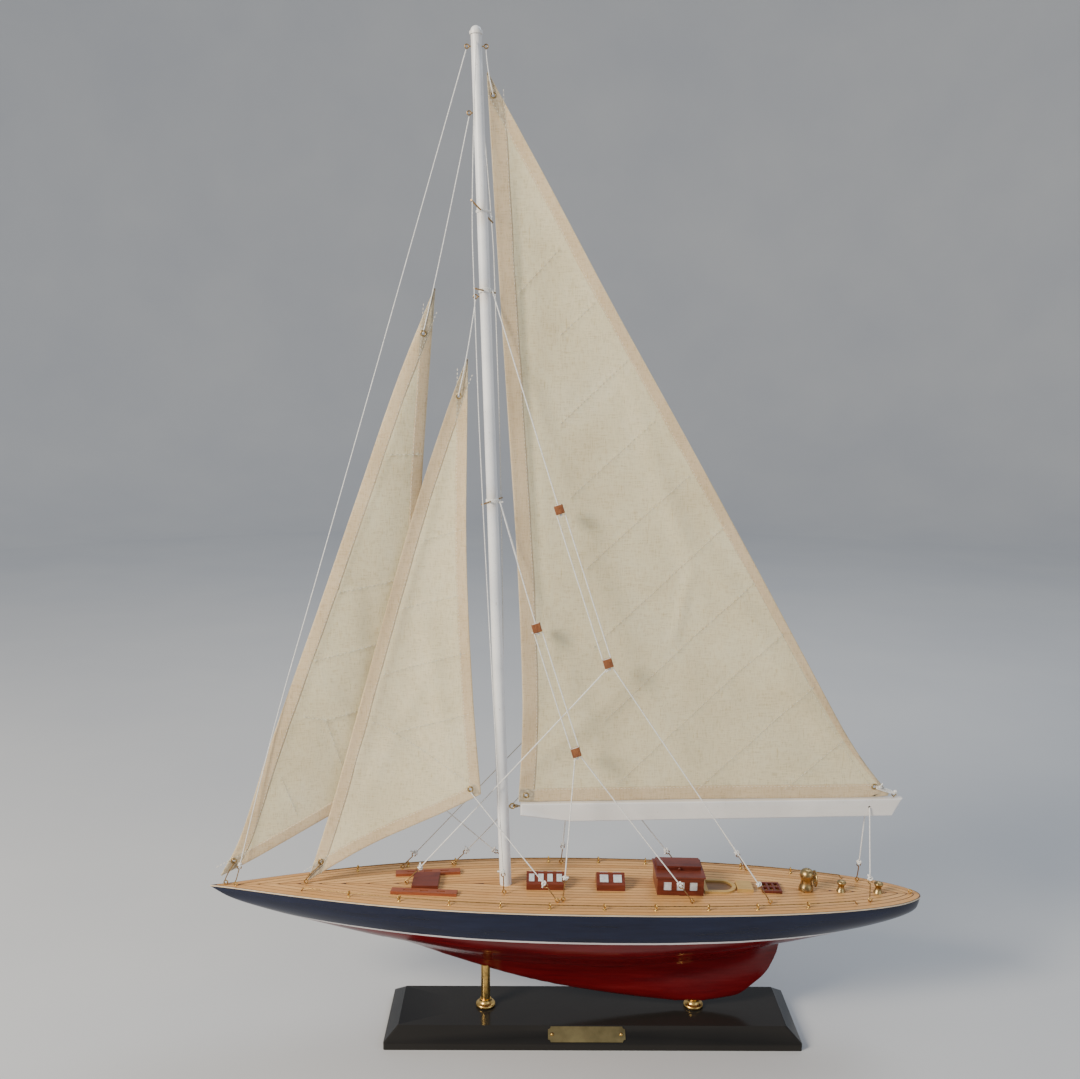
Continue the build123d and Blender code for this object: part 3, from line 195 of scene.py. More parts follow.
def hull_material():
    material, tree, shader = new_material("hull_paint")
    split = add(tree, "ShaderNodeSeparateXYZ", {"Vector": place_of(tree)})
    height = split.outputs["Z"]
    wobble = maths(tree, "MULTIPLY_ADD", noise_of(tree, 40.0, 3.0), 0.0007, -0.00035)
    trim = maths(tree, "MULTIPLY_ADD", split.outputs["X"], 0.0085, 0.0003)
    level = maths(tree, "ADD", maths(tree, "ADD", height, wobble), trim)
    streak = noise_of(tree, 1.0, 5.0, 0.6, stretched(tree, (18.0, 90.0, 160.0)))
    navy = ramp(tree, streak, [(0.3, (0.0042, 0.0065, 0.021)), (0.55, (0.0065, 0.0105, 0.033)),
                               (0.8, (0.010, 0.015, 0.043))])
    red = ramp(tree, streak, [(0.28, (0.075, 0.002, 0.004)), (0.55, (0.125, 0.004, 0.006)),
                              (0.8, (0.165, 0.009, 0.011))])
    white = ramp(tree, streak, [(0.3, (0.60, 0.56, 0.56)), (0.7, (0.78, 0.74, 0.73))])
    above_red = maths(tree, "GREATER_THAN", level, 0.0972)
    above_white = maths(tree, "GREATER_THAN", level, 0.0990)
    painted = mix(tree, above_white, mix(tree, above_red, red, white), navy)
    tree.links.new(painted, shader.inputs["Base Color"])
    tree.links.new(ranged(tree, noise_of(tree, 24.0, 6.0), 0.10, 0.28), shader.inputs["Roughness"])
    shader.inputs["Specular IOR Level"].default_value = 0.36
    grain = noise_of(tree, 1.0, 4.0, 0.6, stretched(tree, (120.0, 900.0, 900.0)))
    bump(tree, shader, grain, 0.00010, 0.22)
    return material


def deck_under_material():
    """Caulking where the deck faces up, pale paint on its edge."""
    material, tree, shader = new_material("deck_seams")
    up = add(tree, "ShaderNodeSeparateXYZ",
             {"Vector": add(tree, "ShaderNodeTexCoord").outputs["Normal"]}).outputs["Z"]
    facing = maths(tree, "GREATER_THAN", up, 0.7)
    grain = noise_of(tree, 1.0, 4.0, 0.6, stretched(tree, (60.0, 600.0, 600.0)))
    edge = ramp(tree, grain, [(0.3, (0.56, 0.43, 0.28)), (0.7, (0.72, 0.60, 0.44))])
    caulk = ramp(tree, grain, [(0.3, (0.040, 0.013, 0.006)), (0.7, (0.085, 0.030, 0.013))])
    tree.links.new(mix(tree, facing, edge, caulk), shader.inputs["Base Color"])
    tree.links.new(ranged(tree, grain, 0.4, 0.6), shader.inputs["Roughness"])
    bump(tree, shader, grain, 0.0001, 0.3)
    return material


def plank_material():
    material, tree, shader = new_material("deck_planks")
    tone = add(tree, "ShaderNodeAttribute", attribute_name="tone").outputs["Fac"]
    grain = noise_of(tree, 1.0, 6.0, 0.65, stretched(tree, (34.0, 620.0, 620.0)), 0.6)
    fine = noise_of(tree, 1.0, 3.0, 0.6, stretched(tree, (160.0, 2600.0, 2600.0)))
    wood = ramp(tree, grain, [(0.22, (0.40, 0.175, 0.052)), (0.42, (0.61, 0.300, 0.098)),
                              (0.6, (0.71, 0.385, 0.145)), (0.82, (0.80, 0.460, 0.190))])
    pores = ramp(tree, fine, [(0.30, (0.52, 0.46, 0.42)), (0.46, (1, 1, 1))])
    tinted = mix(tree, 0.55, wood, mix(tree, tone, (0.54, 0.260, 0.084), (0.82, 0.475, 0.185)))
    tree.links.new(mix(tree, 0.5, tinted, pores, "MULTIPLY"), shader.inputs["Base Color"])
    tree.links.new(ranged(tree, grain, 0.28, 0.48), shader.inputs["Roughness"])
    shader.inputs["Specular IOR Level"].default_value = 0.32
    shader.inputs["Coat Weight"].default_value = 0.06
    shader.inputs["Coat Roughness"].default_value = 0.2
    bump(tree, shader, fine, 0.00008, 0.35)
    return material


def wood_material(name, dark, middle, light, along=(40.0, 420.0, 420.0), rough=(0.24, 0.42), coat=0.08):
    material, tree, shader = new_material(name)
    grain = noise_of(tree, 1.0, 6.0, 0.65, stretched(tree, along), 0.8)
    pores = noise_of(tree, 1.0, 3.0, 0.6, stretched(tree, tuple(4 * a for a in along)))
    wood = ramp(tree, grain, [(0.25, dark), (0.5, middle), (0.78, light)])
    shade = ramp(tree, pores, [(0.34, (0.45, 0.40, 0.38)), (0.5, (1, 1, 1))])
    base = mix(tree, 0.55, wood, shade, "MULTIPLY")
    edge = maths(tree, "MULTIPLY", worn_edges(tree, 0.08), 0.4)
    tree.links.new(mix(tree, edge, base, light), shader.inputs["Base Color"])
    tree.links.new(ranged(tree, grain, *rough), shader.inputs["Roughness"])
    shader.inputs["Specular IOR Level"].default_value = 0.30
    shader.inputs["Coat Weight"].default_value = coat
    shader.inputs["Coat Roughness"].default_value = 0.15
    bump(tree, shader, pores, 0.0001, 0.35)
    return material


def paint_material(name, low=(0.68, 0.69, 0.71), high=(0.86, 0.86, 0.86)):
    """White paint brushed on wood, a little yellowed where it is thin."""
    material, tree, shader = new_material(name)
    cloud = noise_of(tree, 22.0, 5.0)
    specks = noise_of(tree, 520.0, 3.0)
    base = ramp(tree, cloud, [(0.3, low), (0.62, high)])
    dirt = ramp(tree, specks, [(0.24, (0.55, 0.50, 0.42)), (0.36, (1, 1, 1))])
    edge = maths(tree, "MULTIPLY", worn_edges(tree, 0.07), 0.35)
    whole = mix(tree, 0.6, base, dirt, "MULTIPLY")
    tree.links.new(mix(tree, edge, whole, (0.62, 0.52, 0.40)), shader.inputs["Base Color"])
    tree.links.new(ranged(tree, cloud, 0.28, 0.48), shader.inputs["Roughness"])
    brushed = noise_of(tree, 1.0, 3.0, 0.6, stretched(tree, (300.0, 300.0, 60.0)))
    bump(tree, shader, brushed, 0.00015, 0.3)
    return material


def cloth_material(name, tones, weave=1500.0):
    """Unbleached cotton: a plain weave with slubs and soft stains, and light that comes through."""
    material, tree, shader = new_material(name)
    warp = noise_of(tree, 1.0, 2.0, 0.5, stretched(tree, (weave, weave, weave * 0.10)))
    weft = noise_of(tree, 1.0, 2.0, 0.5, stretched(tree, (weave * 0.10, weave * 0.3, weave)))
    cloud = noise_of(tree, 16.0, 4.0)
    thread = maths(tree, "MULTIPLY", maths(tree, "ADD", warp, weft), 0.5)
    base = ramp(tree, cloud, [(0.25, tones[0]), (0.5, tones[1]), (0.78, tones[2])])
    woven = ramp(tree, thread, [(0.34, (0.76, 0.72, 0.66)), (0.5, (0.97, 0.96, 0.95)), (0.66, (1, 1, 1))])
    slub = ramp(tree, noise_of(tree, 1.0, 2.0, 0.5, stretched(tree, (900.0, 900.0, 60.0))),
                [(0.66, (1, 1, 1)), (0.74, (0.86, 0.80, 0.70))])
    tree.links.new(mix(tree, 1.0, mix(tree, 1.0, base, woven, "MULTIPLY"), slub, "MULTIPLY"),
                   shader.inputs["Base Color"])
    shader.inputs["Roughness"].default_value = 0.92
    shader.inputs["Sheen Weight"].default_value = 0.25
    shader.inputs["Sheen Roughness"].default_value = 0.5
    shader.inputs["Subsurface Weight"].default_value = 0.45
    shader.inputs["Subsurface Radius"].default_value = (1.0, 0.8, 0.55)
    shader.inputs["Subsurface Scale"].default_value = 0.0025
    bump(tree, shader, thread, 0.00025, 0.5)
    return material


def thread_material(name, dark, light):
    material, tree, shader = new_material(name)
    fuzz = noise_of(tree, 2600.0, 3.0)
    twist = noise_of(tree, 1100.0, 2.0)
    tree.links.new(ramp(tree, twist, [(0.3, dark), (0.6, light)]), shader.inputs["Base Color"])
    shader.inputs["Roughness"].default_value = 0.85
    shader.inputs["Sheen Weight"].default_value = 0.4
    bump(tree, shader, fuzz, 0.0003, 0.7)
    return material


def pane_material():
    material, tree, shader = new_material("pane")
    cloud = noise_of(tree, 300.0, 3.0)
    tree.links.new(ramp(tree, cloud, [(0.3, (0.46, 0.50, 0.53)), (0.7, (0.64, 0.68, 0.70))]),
                   shader.inputs["Base Color"])
    tree.links.new(ranged(tree, cloud, 0.08, 0.2), shader.inputs["Roughness"])
    shader.inputs["Coat Weight"].default_value = 0.7
    bump(tree, shader, cloud, 0.0001, 0.2)
    return material


def plate_material():
    material, tree, shader = new_material("plate_brass")
    brushed = noise_of(tree, 1.0, 4.0, 0.6, stretched(tree, (60.0, 2400.0, 2400.0)))
    cloud = noise_of(tree, 70.0, 4.0)
    tree.links.new(ramp(tree, cloud, [(0.3, (0.20, 0.155, 0.07)), (0.7, (0.36, 0.285, 0.13))]),
                   shader.inputs["Base Color"])
    shader.inputs["Metallic"].default_value = 1.0
    tree.links.new(ranged(tree, brushed, 0.26, 0.5), shader.inputs["Roughness"])
    bump(tree, shader, brushed, 0.00008, 0.4)
    return material


looks = {
    "black_lacquer": lacquer_material(),
    "brass": brass_material("brass"),
    "plate": plate_material(),
    "steel": brass_material("steel", (0.42, 0.42, 0.43), (0.16, 0.16, 0.17)),
    "hull_paint": hull_material(),
    "deck_wood": deck_under_material(),
    "planks": plank_material(),
    "white_paint": paint_material("white_paint"),
    "bronze_wire": brass_material("bronze_wire", (0.40, 0.25, 0.10), (0.10, 0.055, 0.025), (0.25, 0.5),
                                  420.0),
    "old_brass": brass_material("old_brass", (0.46, 0.32, 0.14), (0.13, 0.08, 0.035), (0.22, 0.45), 300.0),
    "sailcloth": cloth_material("sailcloth", [(0.62, 0.535, 0.355), (0.71, 0.62, 0.42), (0.77, 0.68, 0.485)]),
    "hem": cloth_material("hem_cloth", [(0.55, 0.430, 0.262), (0.63, 0.505, 0.325), (0.69, 0.570, 0.385)]),
    "stitch": thread_material("stitch_thread", (0.66, 0.60, 0.46), (0.86, 0.81, 0.68)),
    "cord": thread_material("white_thread", (0.66, 0.64, 0.60), (0.90, 0.89, 0.86)),
    "mahogany": wood_material("mahogany", (0.045, 0.008, 0.005), (0.115, 0.020, 0.011), (0.20, 0.046, 0.024)),
    "strip_wood": wood_material("strip_wood", (0.12, 0.028, 0.012), (0.24, 0.060, 0.024), (0.36, 0.11, 0.05)),
    "block_wood": wood_material("block_wood", (0.10, 0.032, 0.012), (0.22, 0.075, 0.028), (0.36, 0.15, 0.06),
                                (500.0, 500.0, 160.0)),
    "tan_wood": wood_material("tan_wood", (0.22, 0.095, 0.028), (0.36, 0.175, 0.055), (0.48, 0.26, 0.095)),
    "golden_wood": wood_material("golden_wood", (0.30, 0.165, 0.045), (0.50, 0.300, 0.085),
                                 (0.62, 0.40, 0.14)),
    # The cockpit well floor's dark brown is painted shade of the recessed well, darker than the deck wood itself.
    "well_wood": wood_material("well_wood", (0.10, 0.045, 0.016), (0.20, 0.095, 0.034), (0.30, 0.15, 0.06)),
    "pane": pane_material(),
}


# ---------------------------------------------------------------- mesh helpers, in millimetres
def finish_mesh(name, bm, look, body=HULL, smooth=True, limit=None):
    bmesh.ops.scale(bm, vec=(MM, MM, MM), verts=bm.verts)
    bmesh.ops.recalc_face_normals(bm, faces=bm.faces)
    mesh = bpy.data.meshes.new(name)
    bm.to_mesh(mesh)
    bm.free()
    mesh.materials.append(looks[look])
    if smooth:
        mesh.shade_smooth()
    obj = bpy.data.objects.new(name, mesh)
    scene.collection.objects.link(obj)
    if limit is not None:
        mesh.set_sharp_from_angle(angle=math.radians(limit))
    if body:
        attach(obj, body)
    return obj


def frames_along(points, closed=False):
    """Direction and two side vectors at each point, carried along without twisting."""
    count = len(points)
    result = []
    side = None
    for i in range(count):
        before = points[i - 1] if (i or closed) else points[i]
        after = points[(i + 1) % count] if (i < count - 1 or closed) else points[i]
        ahead = (after - before).normalized()
        if side is None:
            side = ahead.orthogonal().normalized()
        else:
            side = (side - ahead * side.dot(ahead)).normalized()
        result.append((ahead, side, ahead.cross(side)))
    return result


def bridge(bm, low, high):
    """Join two rings of vertices with faces."""
    count = len(low)
    for k in range(count):
        bm.faces.new((low[k], low[(k + 1) % count], high[(k + 1) % count], high[k]))


def tube(bm, points, radius, sides=8, closed=False, taper=None):
    """Add a round tube through the points."""
    points = [Vector(p) for p in points]
    rings = []
    for i, (point, (_, u, v)) in enumerate(zip(points, frames_along(points, closed))):
        r = radius * (taper[i] if taper else 1.0)
        rings.append([bm.verts.new(point + (u * math.cos(a) + v * math.sin(a)) * r)
                      for a in (2 * math.pi * k / sides for k in range(sides))])
    pairs = list(zip(rings, rings[1:]))
    if closed:
        pairs.append((rings[-1], rings[0]))
    for low, high in pairs:
        bridge(bm, low, high)
    if not closed:
        bm.faces.new(list(reversed(rings[0])))
        bm.faces.new(rings[-1])


def arc(centre, u, v, radius, start, end, count=12):
    """Points on an arc in the plane of u and v; angles in degrees."""
    result = []
    for i in range(count + 1):
        a = math.radians(start + (end - start) * i / count)
        result.append(centre + u * (radius * math.cos(a)) + v * (radius * math.sin(a)))
    return result


def smooth_line(points, per_run=6, closed=False):
    """Catmull-Rom line through the points."""
    points = [Vector(p) for p in points]
    count = len(points)
    result = []
    for i in range(count if closed else count - 1):
        if closed:
            a, b, c, d = (points[(i + k) % count] for k in (-1, 0, 1, 2))
        else:
            a, b, c, d = (points[min(max(i + k, 0), count - 1)] for k in (-1, 0, 1, 2))
        for step in range(per_run):
            t = step / per_run
            result.append(0.5 * ((2 * b) + (c - a) * t + (2 * a - 5 * b + 4 * c - d) * t * t
                                 + (3 * b - a - 3 * c + d) * t ** 3))
    if not closed:
        result.append(points[-1])
    return result


def rounded_block(bm, centre, axes, size, bevel, segments=3):
    """Add a block with rounded edges; axes are its three unit directions."""
    made = bmesh.ops.create_cube(bm, size=1.0)
    verts = made["verts"]
    turn = Matrix(axes).transposed()
    for v in verts:
        v.co = turn @ Vector([c * s for c, s in zip(v.co, size)]) + centre
    edges = list({e for v in verts for e in v.link_edges})
    bmesh.ops.bevel(bm, geom=edges, offset=bevel, segments=segments, profile=0.5, affect="EDGES")


# ---------------------------------------------------------------- threads, in metres
def middle(start, end, sag):
    """A point halfway along a taut thread, lower by its small sag."""
    return tuple((a + b) / 2 for a, b in zip(start, end[:2])) + ((start[2] + end[2]) / 2 - sag,)


threads = {
    "upper_port_part": [(-0.06207, -0.00200, 0.61550), (-0.00995, -0.01276, 0.44967)],
    "upper_port_fall_1": [(-0.01060, -0.01320, 0.44088), (0.02697, -0.01882, 0.32563)],
    "upper_port_fall_2": [(-0.00433, -0.01320, 0.44293), (0.03325, -0.01882, 0.32768)],
    "upper_port_leg_1": [(-0.12178, -0.00283, 0.14255), (0.03038, -0.01920, 0.31808)],
    "upper_port_leg_2": [(0.15652, -0.02712, 0.14042), (0.03494, -0.01920, 0.31957)],
    "lower_port_part": [(-0.05613, -0.00200, 0.45100), (-0.02710, -0.01164, 0.35367)],
    "lower_port_fall_1": [(-0.02782, -0.01232, 0.34490), (0.00218, -0.01971, 0.25164)],
    "lower_port_fall_2": [(-0.02154, -0.01232, 0.34692), (0.00847, -0.01971, 0.25367)],
    "lower_port_leg_1": [(-0.00162, -0.02922, 0.14665), (0.00556, -0.02033, 0.24409)],
    "lower_port_leg_2": [(0.09107, -0.02883, 0.14121), (0.01013, -0.02033, 0.24556)],
    "upper_starboard_part": [(-0.06207, 0.00200, 0.61550), (-0.00995, 0.01276, 0.44967)],
    "upper_starboard_fall_1": [(-0.01060, 0.01320, 0.44088), (0.02697, 0.01882, 0.32563)],
    "upper_starboard_fall_2": [(-0.00433, 0.01320, 0.44293), (0.03325, 0.01882, 0.32768)],
    "upper_starboard_leg_1": [(-0.12837, 0.02662, 0.14230), (0.03038, 0.01920, 0.31808)],
    "upper_starboard_leg_2": [(0.14888, 0.03165, 0.14091), (0.03494, 0.01920, 0.31957)],
    "lower_starboard_part": [(-0.05613, 0.00200, 0.45100), (-0.02710, 0.01164, 0.35367)],
    "lower_starboard_fall_1": [(-0.02782, 0.01232, 0.34490), (0.00218, 0.01971, 0.25164)],
    "lower_starboard_fall_2": [(-0.02154, 0.01232, 0.34692), (0.00847, 0.01971, 0.25367)],
    "lower_starboard_leg_1": [(-0.08445, 0.03197, 0.14246), (0.00556, 0.02033, 0.24409)],
    "lower_starboard_leg_2": [(-0.00163, 0.03629, 0.14648), (0.00556, 0.02033, 0.24409)],
    "lower_starboard_leg_3": [(0.08780, 0.03546, 0.14143), (0.01013, 0.02033, 0.24556)],
    "staysail_sheet": [(-0.01970, -0.03081, 0.14239), (-0.07892, -0.01867, 0.21407)],
    "jib_sheet": [(-0.06295, 0.03523, 0.14125), (-0.14394, 0.02053, 0.21943)],
}
thin_threads = {
    "shroud_port": [(-0.07425, -0.00511, 0.79750), (-0.07707, -0.02517, 0.68000),
                    (-0.07499, -0.02517, 0.61550), (-0.06925, -0.02517, 0.45100),
                    (-0.05263, -0.01936, 0.14710)],
    "shroud_starboard": [(-0.07425, 0.00511, 0.79750), (-0.06287, 0.02517, 0.67000),
                         (-0.06079, 0.02517, 0.61550), (-0.05505, 0.02517, 0.45100),
                         (-0.05180, 0.01936, 0.14713)],
    "forestay": [(-0.27283, -0.00350, 0.14509), (-0.24498, -0.00291, 0.25406),
                 (-0.19900, -0.00211, 0.40195), (-0.08209, 0.00000, 0.79300)],
    "jib_halyard": [(-0.07987, 0.00000, 0.74490), (-0.10682, -0.00190, 0.61704),
                    (-0.11629, -0.00131, 0.58256)],
    "staysail_halyard": [(-0.07526, 0.00000, 0.60840), (-0.08171, -0.00190, 0.56317),
                         (-0.08887, -0.00218, 0.53419)],
    "main_halyard": [(-0.06687, 0.00000, 0.79290), (-0.06600, -0.00170, 0.77800),
                     (-0.06160, -0.00190, 0.76050)],
}
mainsheets = {
    "mainsheet_port": [(0.25200, -0.01545, 0.14072), (0.25200, -0.00470, 0.19688)],
    "mainsheet_starboard": [(0.25200, 0.01545, 0.14072), (0.25200, 0.00470, 0.19688)],
}
thread_nodes = {
    "upper_port_part": "upper_runner_port", "lower_port_part": "lower_runner_port",
    "upper_starboard_part": "upper_runner_starboard", "lower_starboard_part": "lower_runner_starboard",
    "shroud_port": "shrouds",
}


def nurbs_curve(name, points, diameter):
    data = bpy.data.curves.new(name, "CURVE")
    data.dimensions = "3D"
    spline = data.splines.new("NURBS")
    spline.points.add(len(points) - 1)
    for point, place in zip(spline.points, points):
        point.co = (*place, 1.0)
    spline.order_u = 3
    spline.use_endpoint_u = True
    data.resolution_u = 8
    data.bevel_depth = diameter / 2
    data.bevel_resolution = 3
    data.use_fill_caps = True
    obj = bpy.data.objects.new(name, data)
    scene.collection.objects.link(obj)
    return obj


def make_thread(name, points, diameter, sag):
    if len(points) == 2:
        points = [points[0], middle(points[0], points[1], sag), points[1]]
    obj = nurbs_curve(name + "_thread", points, diameter)
    obj.data.materials.append(looks["cord"])
    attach(obj, HULL)
    node = thread_nodes.get(name, name if name in nodes else None)
    if node:
        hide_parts(node)
    return obj


for name, points in threads.items():
    make_thread(name, points, 0.0010, 0.0006)
for name, points in thin_threads.items():
    make_thread(name, points, 0.0008, 0.0003)


def make_mainsheet(name, points):
    """A sheet is built as a mesh tube, attached to no body."""
    route = nurbs_curve(name + "_route", [points[0], middle(points[0], points[1], 0.0004), points[1]], 0.001)
    route.data.bevel_depth = 0.0
    bpy.context.view_layer.update()
    line = bpy.data.meshes.new_from_object(route)
    path = [Vector(v.co) for v in line.vertices]
    bpy.data.objects.remove(route)
    bm = bmesh.new()
    tube(bm, [p / MM for p in path], 0.5, 10)
    obj = finish_mesh(name + "_thread", bm, "cord", body=None)
    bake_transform(obj)
    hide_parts(name)


for name, points in mainsheets.items():
    make_mainsheet(name, points)


# ---------------------------------------------------------------- knots, hooks, blocks and wraps
def knot_pieces(bm, centre, ahead, size=1.9, wire=0.5, tail=True, seed=1):
    """Add an overhand knot of thread, with its cut tail, pulled along a direction."""
    rnd = random.Random(seed)
    ahead = ahead.normalized()
    u = ahead.orthogonal().normalized()
    u = Matrix.Rotation(rnd.uniform(0, 6.28), 3, ahead) @ u
    v = ahead.cross(u)
    loops = []
    for i in range(36):
        a = 2 * math.pi * i / 36
        r = size * (0.56 + 0.26 * math.cos(3 * a))
        loops.append(centre + u * (r * math.cos(2 * a)) + v * (r * math.sin(2 * a))
                     + ahead * (size * 0.45 * math.sin(3 * a)))
    tube(bm, loops, wire, 6, closed=True)
    for shift in (-0.9, 0.9):
        ring = arc(centre + ahead * shift, u, v, size * 0.5, 0, 345, 14)
        tube(bm, [p + ahead * (0.25 * i / 14) for i, p in enumerate(ring)], wire, 6, closed=True)
    if tail:
        lean = (u * rnd.uniform(0.5, 1.0) + v * rnd.uniform(-0.8, 0.8) + ahead * rnd.uniform(-0.4, 0.5))
        lean.normalize()
        end = centre + lean * rnd.uniform(3.8, 5.6)
        bend = centre + lean * 1.8 + v * rnd.uniform(-0.9, 0.9)
        points = smooth_line([centre, bend, end], 4)
        tube(bm, points, wire * 1.1, 6, taper=[1.0] * (len(points) - 3) + [1.15, 1.35, 1.5])


hooks = {
    "upper_port_1": ((-134.10, -1.50, 128.34), (30.38, -19.20, 318.08)),
    "upper_port_2": ((167.10, -27.81, 124.84), (34.94, -19.20, 319.57)),
    "lower_port_1": ((-3.00, -30.93, 127.93), (5.56, -20.33, 244.09)),
    "lower_port_2": ((102.60, -30.04, 126.35), (10.13, -20.33, 245.56)),
    "upper_starboard_1": ((-141.00, 27.21, 128.32), (30.38, 19.20, 318.08)),
    "upper_starboard_2": ((159.00, 32.76, 125.05), (34.94, 19.20, 319.57)),
    "lower_starboard_1": ((-96.90, 33.58, 128.40), (5.56, 20.33, 244.09)),
    "lower_starboard_2": ((-3.00, 39.33, 127.93), (5.56, 20.33, 244.09)),
    "lower_starboard_3": ((99.00, 37.64, 126.42), (10.13, 20.33, 245.56)),
    "staysail_sheet": ((-7.80, -33.25, 127.98), (-78.92, -18.67, 214.07)),
    "jib_sheet": ((-49.50, 37.67, 128.27), (-143.94, 20.53, 219.43)),
    "mainsheet_port": ((252.00, -19.00, 122.21), (252.00, -4.70, 196.88)),
    "mainsheet_starboard": ((252.00, 19.00, 122.21), (252.00, 4.70, 196.88)),
    "shroud_port": ((-51.60, -19.00, 128.28), (-69.25, -23.97, 451.00)),
    "shroud_starboard": ((-51.60, 19.00, 128.28), (-55.05, 23.97, 451.00)),
    "forestay": ((-277.50, -3.60, 126.82), (-245.00, -3.20, 254.00)),
}
HOOK_LENGTH = 15.0


def s_hook(bm, eye, toward, wire=0.45):
    """Add a bent wire hook: a small crook in the eye, a straight shank and an open ring."""
    reach = (toward - eye).normalized()
    side = reach.cross(Vector((0, 1, 0))).normalized()
    top = eye + reach * HOOK_LENGTH
    crook = arc(eye + reach * 0.35, side, reach, 1.35, -235, 40, 14)
    shank_start = eye + reach * 3.6 + side * 0.25
    ring = arc(top, side, reach, 1.55, -105, 215, 20)
    shank_end = top - reach * 2.6 + side * -0.1
    points = crook + smooth_line([crook[-1], shank_start, shank_end, ring[0]], 5)[1:-1] + ring
    tube(bm, points, wire, 8)


bm = bmesh.new()
for eye, toward in hooks.values():
    s_hook(bm, Vector(eye), Vector(toward))


def tack_hook(bm, eye, grommet):
    """Add an S hook that lies beside a headsail, from the deck eye to the grommet."""
    eye, grommet = Vector(eye), Vector(grommet)
    ahead = (grommet - eye).normalized()
    side = ahead.cross(Vector((0, 1, 0))).normalized()
    low = arc(eye + Vector((0, -1.2, 0)) + ahead * 0.3, side, ahead, 1.5, -225, 30, 12)
    high = arc(grommet + Vector((0, -1.9, 0)) - ahead * 0.2, side, ahead, 1.6, -150, 120, 12)
    tube(bm, low + smooth_line([low[-1], (low[-1] + high[0]) / 2 + side * 0.6, high[0]], 5)[1:-1] + high,
         0.45, 8)


tack_hook(bm, (-286.5, 0.0, 126.66), (-279.38, 0.97, 145.60))
tack_hook(bm, (-219.0, 0.0, 127.69), (-205.92, -0.86, 145.72))
hook_piece = finish_mesh("wire_hooks", bm, "bronze_wire")
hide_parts("rigging_hooks")

bm = bmesh.new()
for i, (name, (eye, toward)) in enumerate(hooks.items()):
    eye, toward = Vector(eye), Vector(toward)
    reach = (toward - eye).normalized()
    centre = eye + reach * (HOOK_LENGTH + 2.6)
    knot_pieces(bm, centre, reach, 1.9 if "shroud" in name or name == "forestay" else 2.5, 0.52, seed=i + 3)
    top = eye + reach * HOOK_LENGTH
    tube(bm, smooth_line([centre, top + reach * 1.1, top + reach * 0.6 + Vector((0, 0.8, 0))], 4), 0.42, 6)
knots = finish_mesh("thread_knots", bm, "cord")


def wooden_block(bm, origin, across, up):
    """Add a rigging block: a rounded wooden body with a strop groove round it."""
    across, up = Vector(across).normalized(), Vector(up).normalized()
    deep = up.cross(across).normalized()
    origin = Vector(origin)
    for shift, size in ((-1.62, (7.4, 2.55, 7.2)), (1.62, (7.4, 2.55, 7.2)), (0.0, (6.0, 3.4, 5.9))):
        rounded_block(bm, origin + deep * shift, (across, deep, up), size, 0.7)


def squared(value):
    """Push a circle's coordinate out towards a square with round corners."""
    return math.copysign(min(1.0, abs(value) * 1.25), value)


blocks = {
    "upper_port_high": ((-8.80, -13.00, 446.00), (0.95399, 0.0, 0.29983), (-0.29925, 0.06179, 0.95217)),
    "upper_port_low": ((31.30, -19.00, 323.00), (0.95075, 0.0, 0.30996), (-0.30963, 0.04633, 0.94973)),
    "lower_port_high": ((-26.00, -12.00, 350.00), (0.95826, 0.0, 0.28589), (-0.28461, 0.09445, 0.95398)),
    "lower_port_low": ((6.50, -20.00, 249.00), (0.95193, 0.0, 0.30631), (-0.30545, 0.07519, 0.94924)),
}
bm = bmesh.new()
cord_bm = bmesh.new()
for name, (origin, across, up) in blocks.items():
    for side in (1, -1):
        origin_s = Vector((origin[0], origin[1] * side, origin[2]))
        across_s = Vector((across[0], across[1] * side, across[2]))
        up_s = Vector((up[0], up[1] * side, up[2]))
        wooden_block(bm, origin_s, across_s, up_s)
        deep = up_s.cross(across_s).normalized()
        strop = [origin_s + across_s * (3.3 * squared(math.cos(a))) + up_s * (3.3 * squared(math.sin(a)))
                 for a in (2 * math.pi * k / 28 for k in range(28))]
        tube(cord_bm, strop, 0.5, 6, closed=True)
        knot_pieces(cord_bm, origin_s - up_s * 4.6, -up_s, 1.0, 0.4, tail="low" in name, seed=len(name))
block_piece = finish_mesh("rigging_blocks", bm, "block_wood", limit=40)
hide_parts("blocks")
strops = finish_mesh("block_strops", cord_bm, "cord")


def mast_centre(z):
    return Vector((MAST_FOOT - (z - DECK_HEIGHT) * math.tan(MAST_RAKE), 0.0, z))


def mast_thickness(z):
    low, high = MAST_RADII
    return low + (high - low) * (z - DECK_HEIGHT) / (MAST_TOP - DECK_HEIGHT)


def wraps(bm, z, turns, wire, seed, spread=3.0):
    """Add turns of thread wound round the mast, with a knot and its tail aft."""
    rnd = random.Random(seed)
    count = 26
    points = []
    for i in range(turns * count + 1):
        a = 2 * math.pi * i / count
        level = z - spread / 2 + spread * i / (turns * count) + 0.12 * math.sin(3 * a + rnd.random() * 0.2)
        r = mast_thickness(level) + wire * 0.8
        points.append(mast_centre(level) + Vector((math.cos(a) * r, math.sin(a) * r, 0)))
    tube(bm, points, wire, 6)
    knot_pieces(bm, mast_centre(z) + Vector((mast_thickness(z) + 1.2, 0, 0)), Vector((0.3, 1, 0.1)), 1.2,
                wire * 0.9,
                seed=seed)


bm = bmesh.new()
for z, turns, spread in ((451.0, 4, 3.4), (615.5, 4, 3.4), (675.0, 2, 1.8)):
    wraps(bm, z, turns, 0.45, int(z), spread)
wrap_piece = finish_mesh("mast_wraps", bm, "cord")
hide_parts("mast_bands")

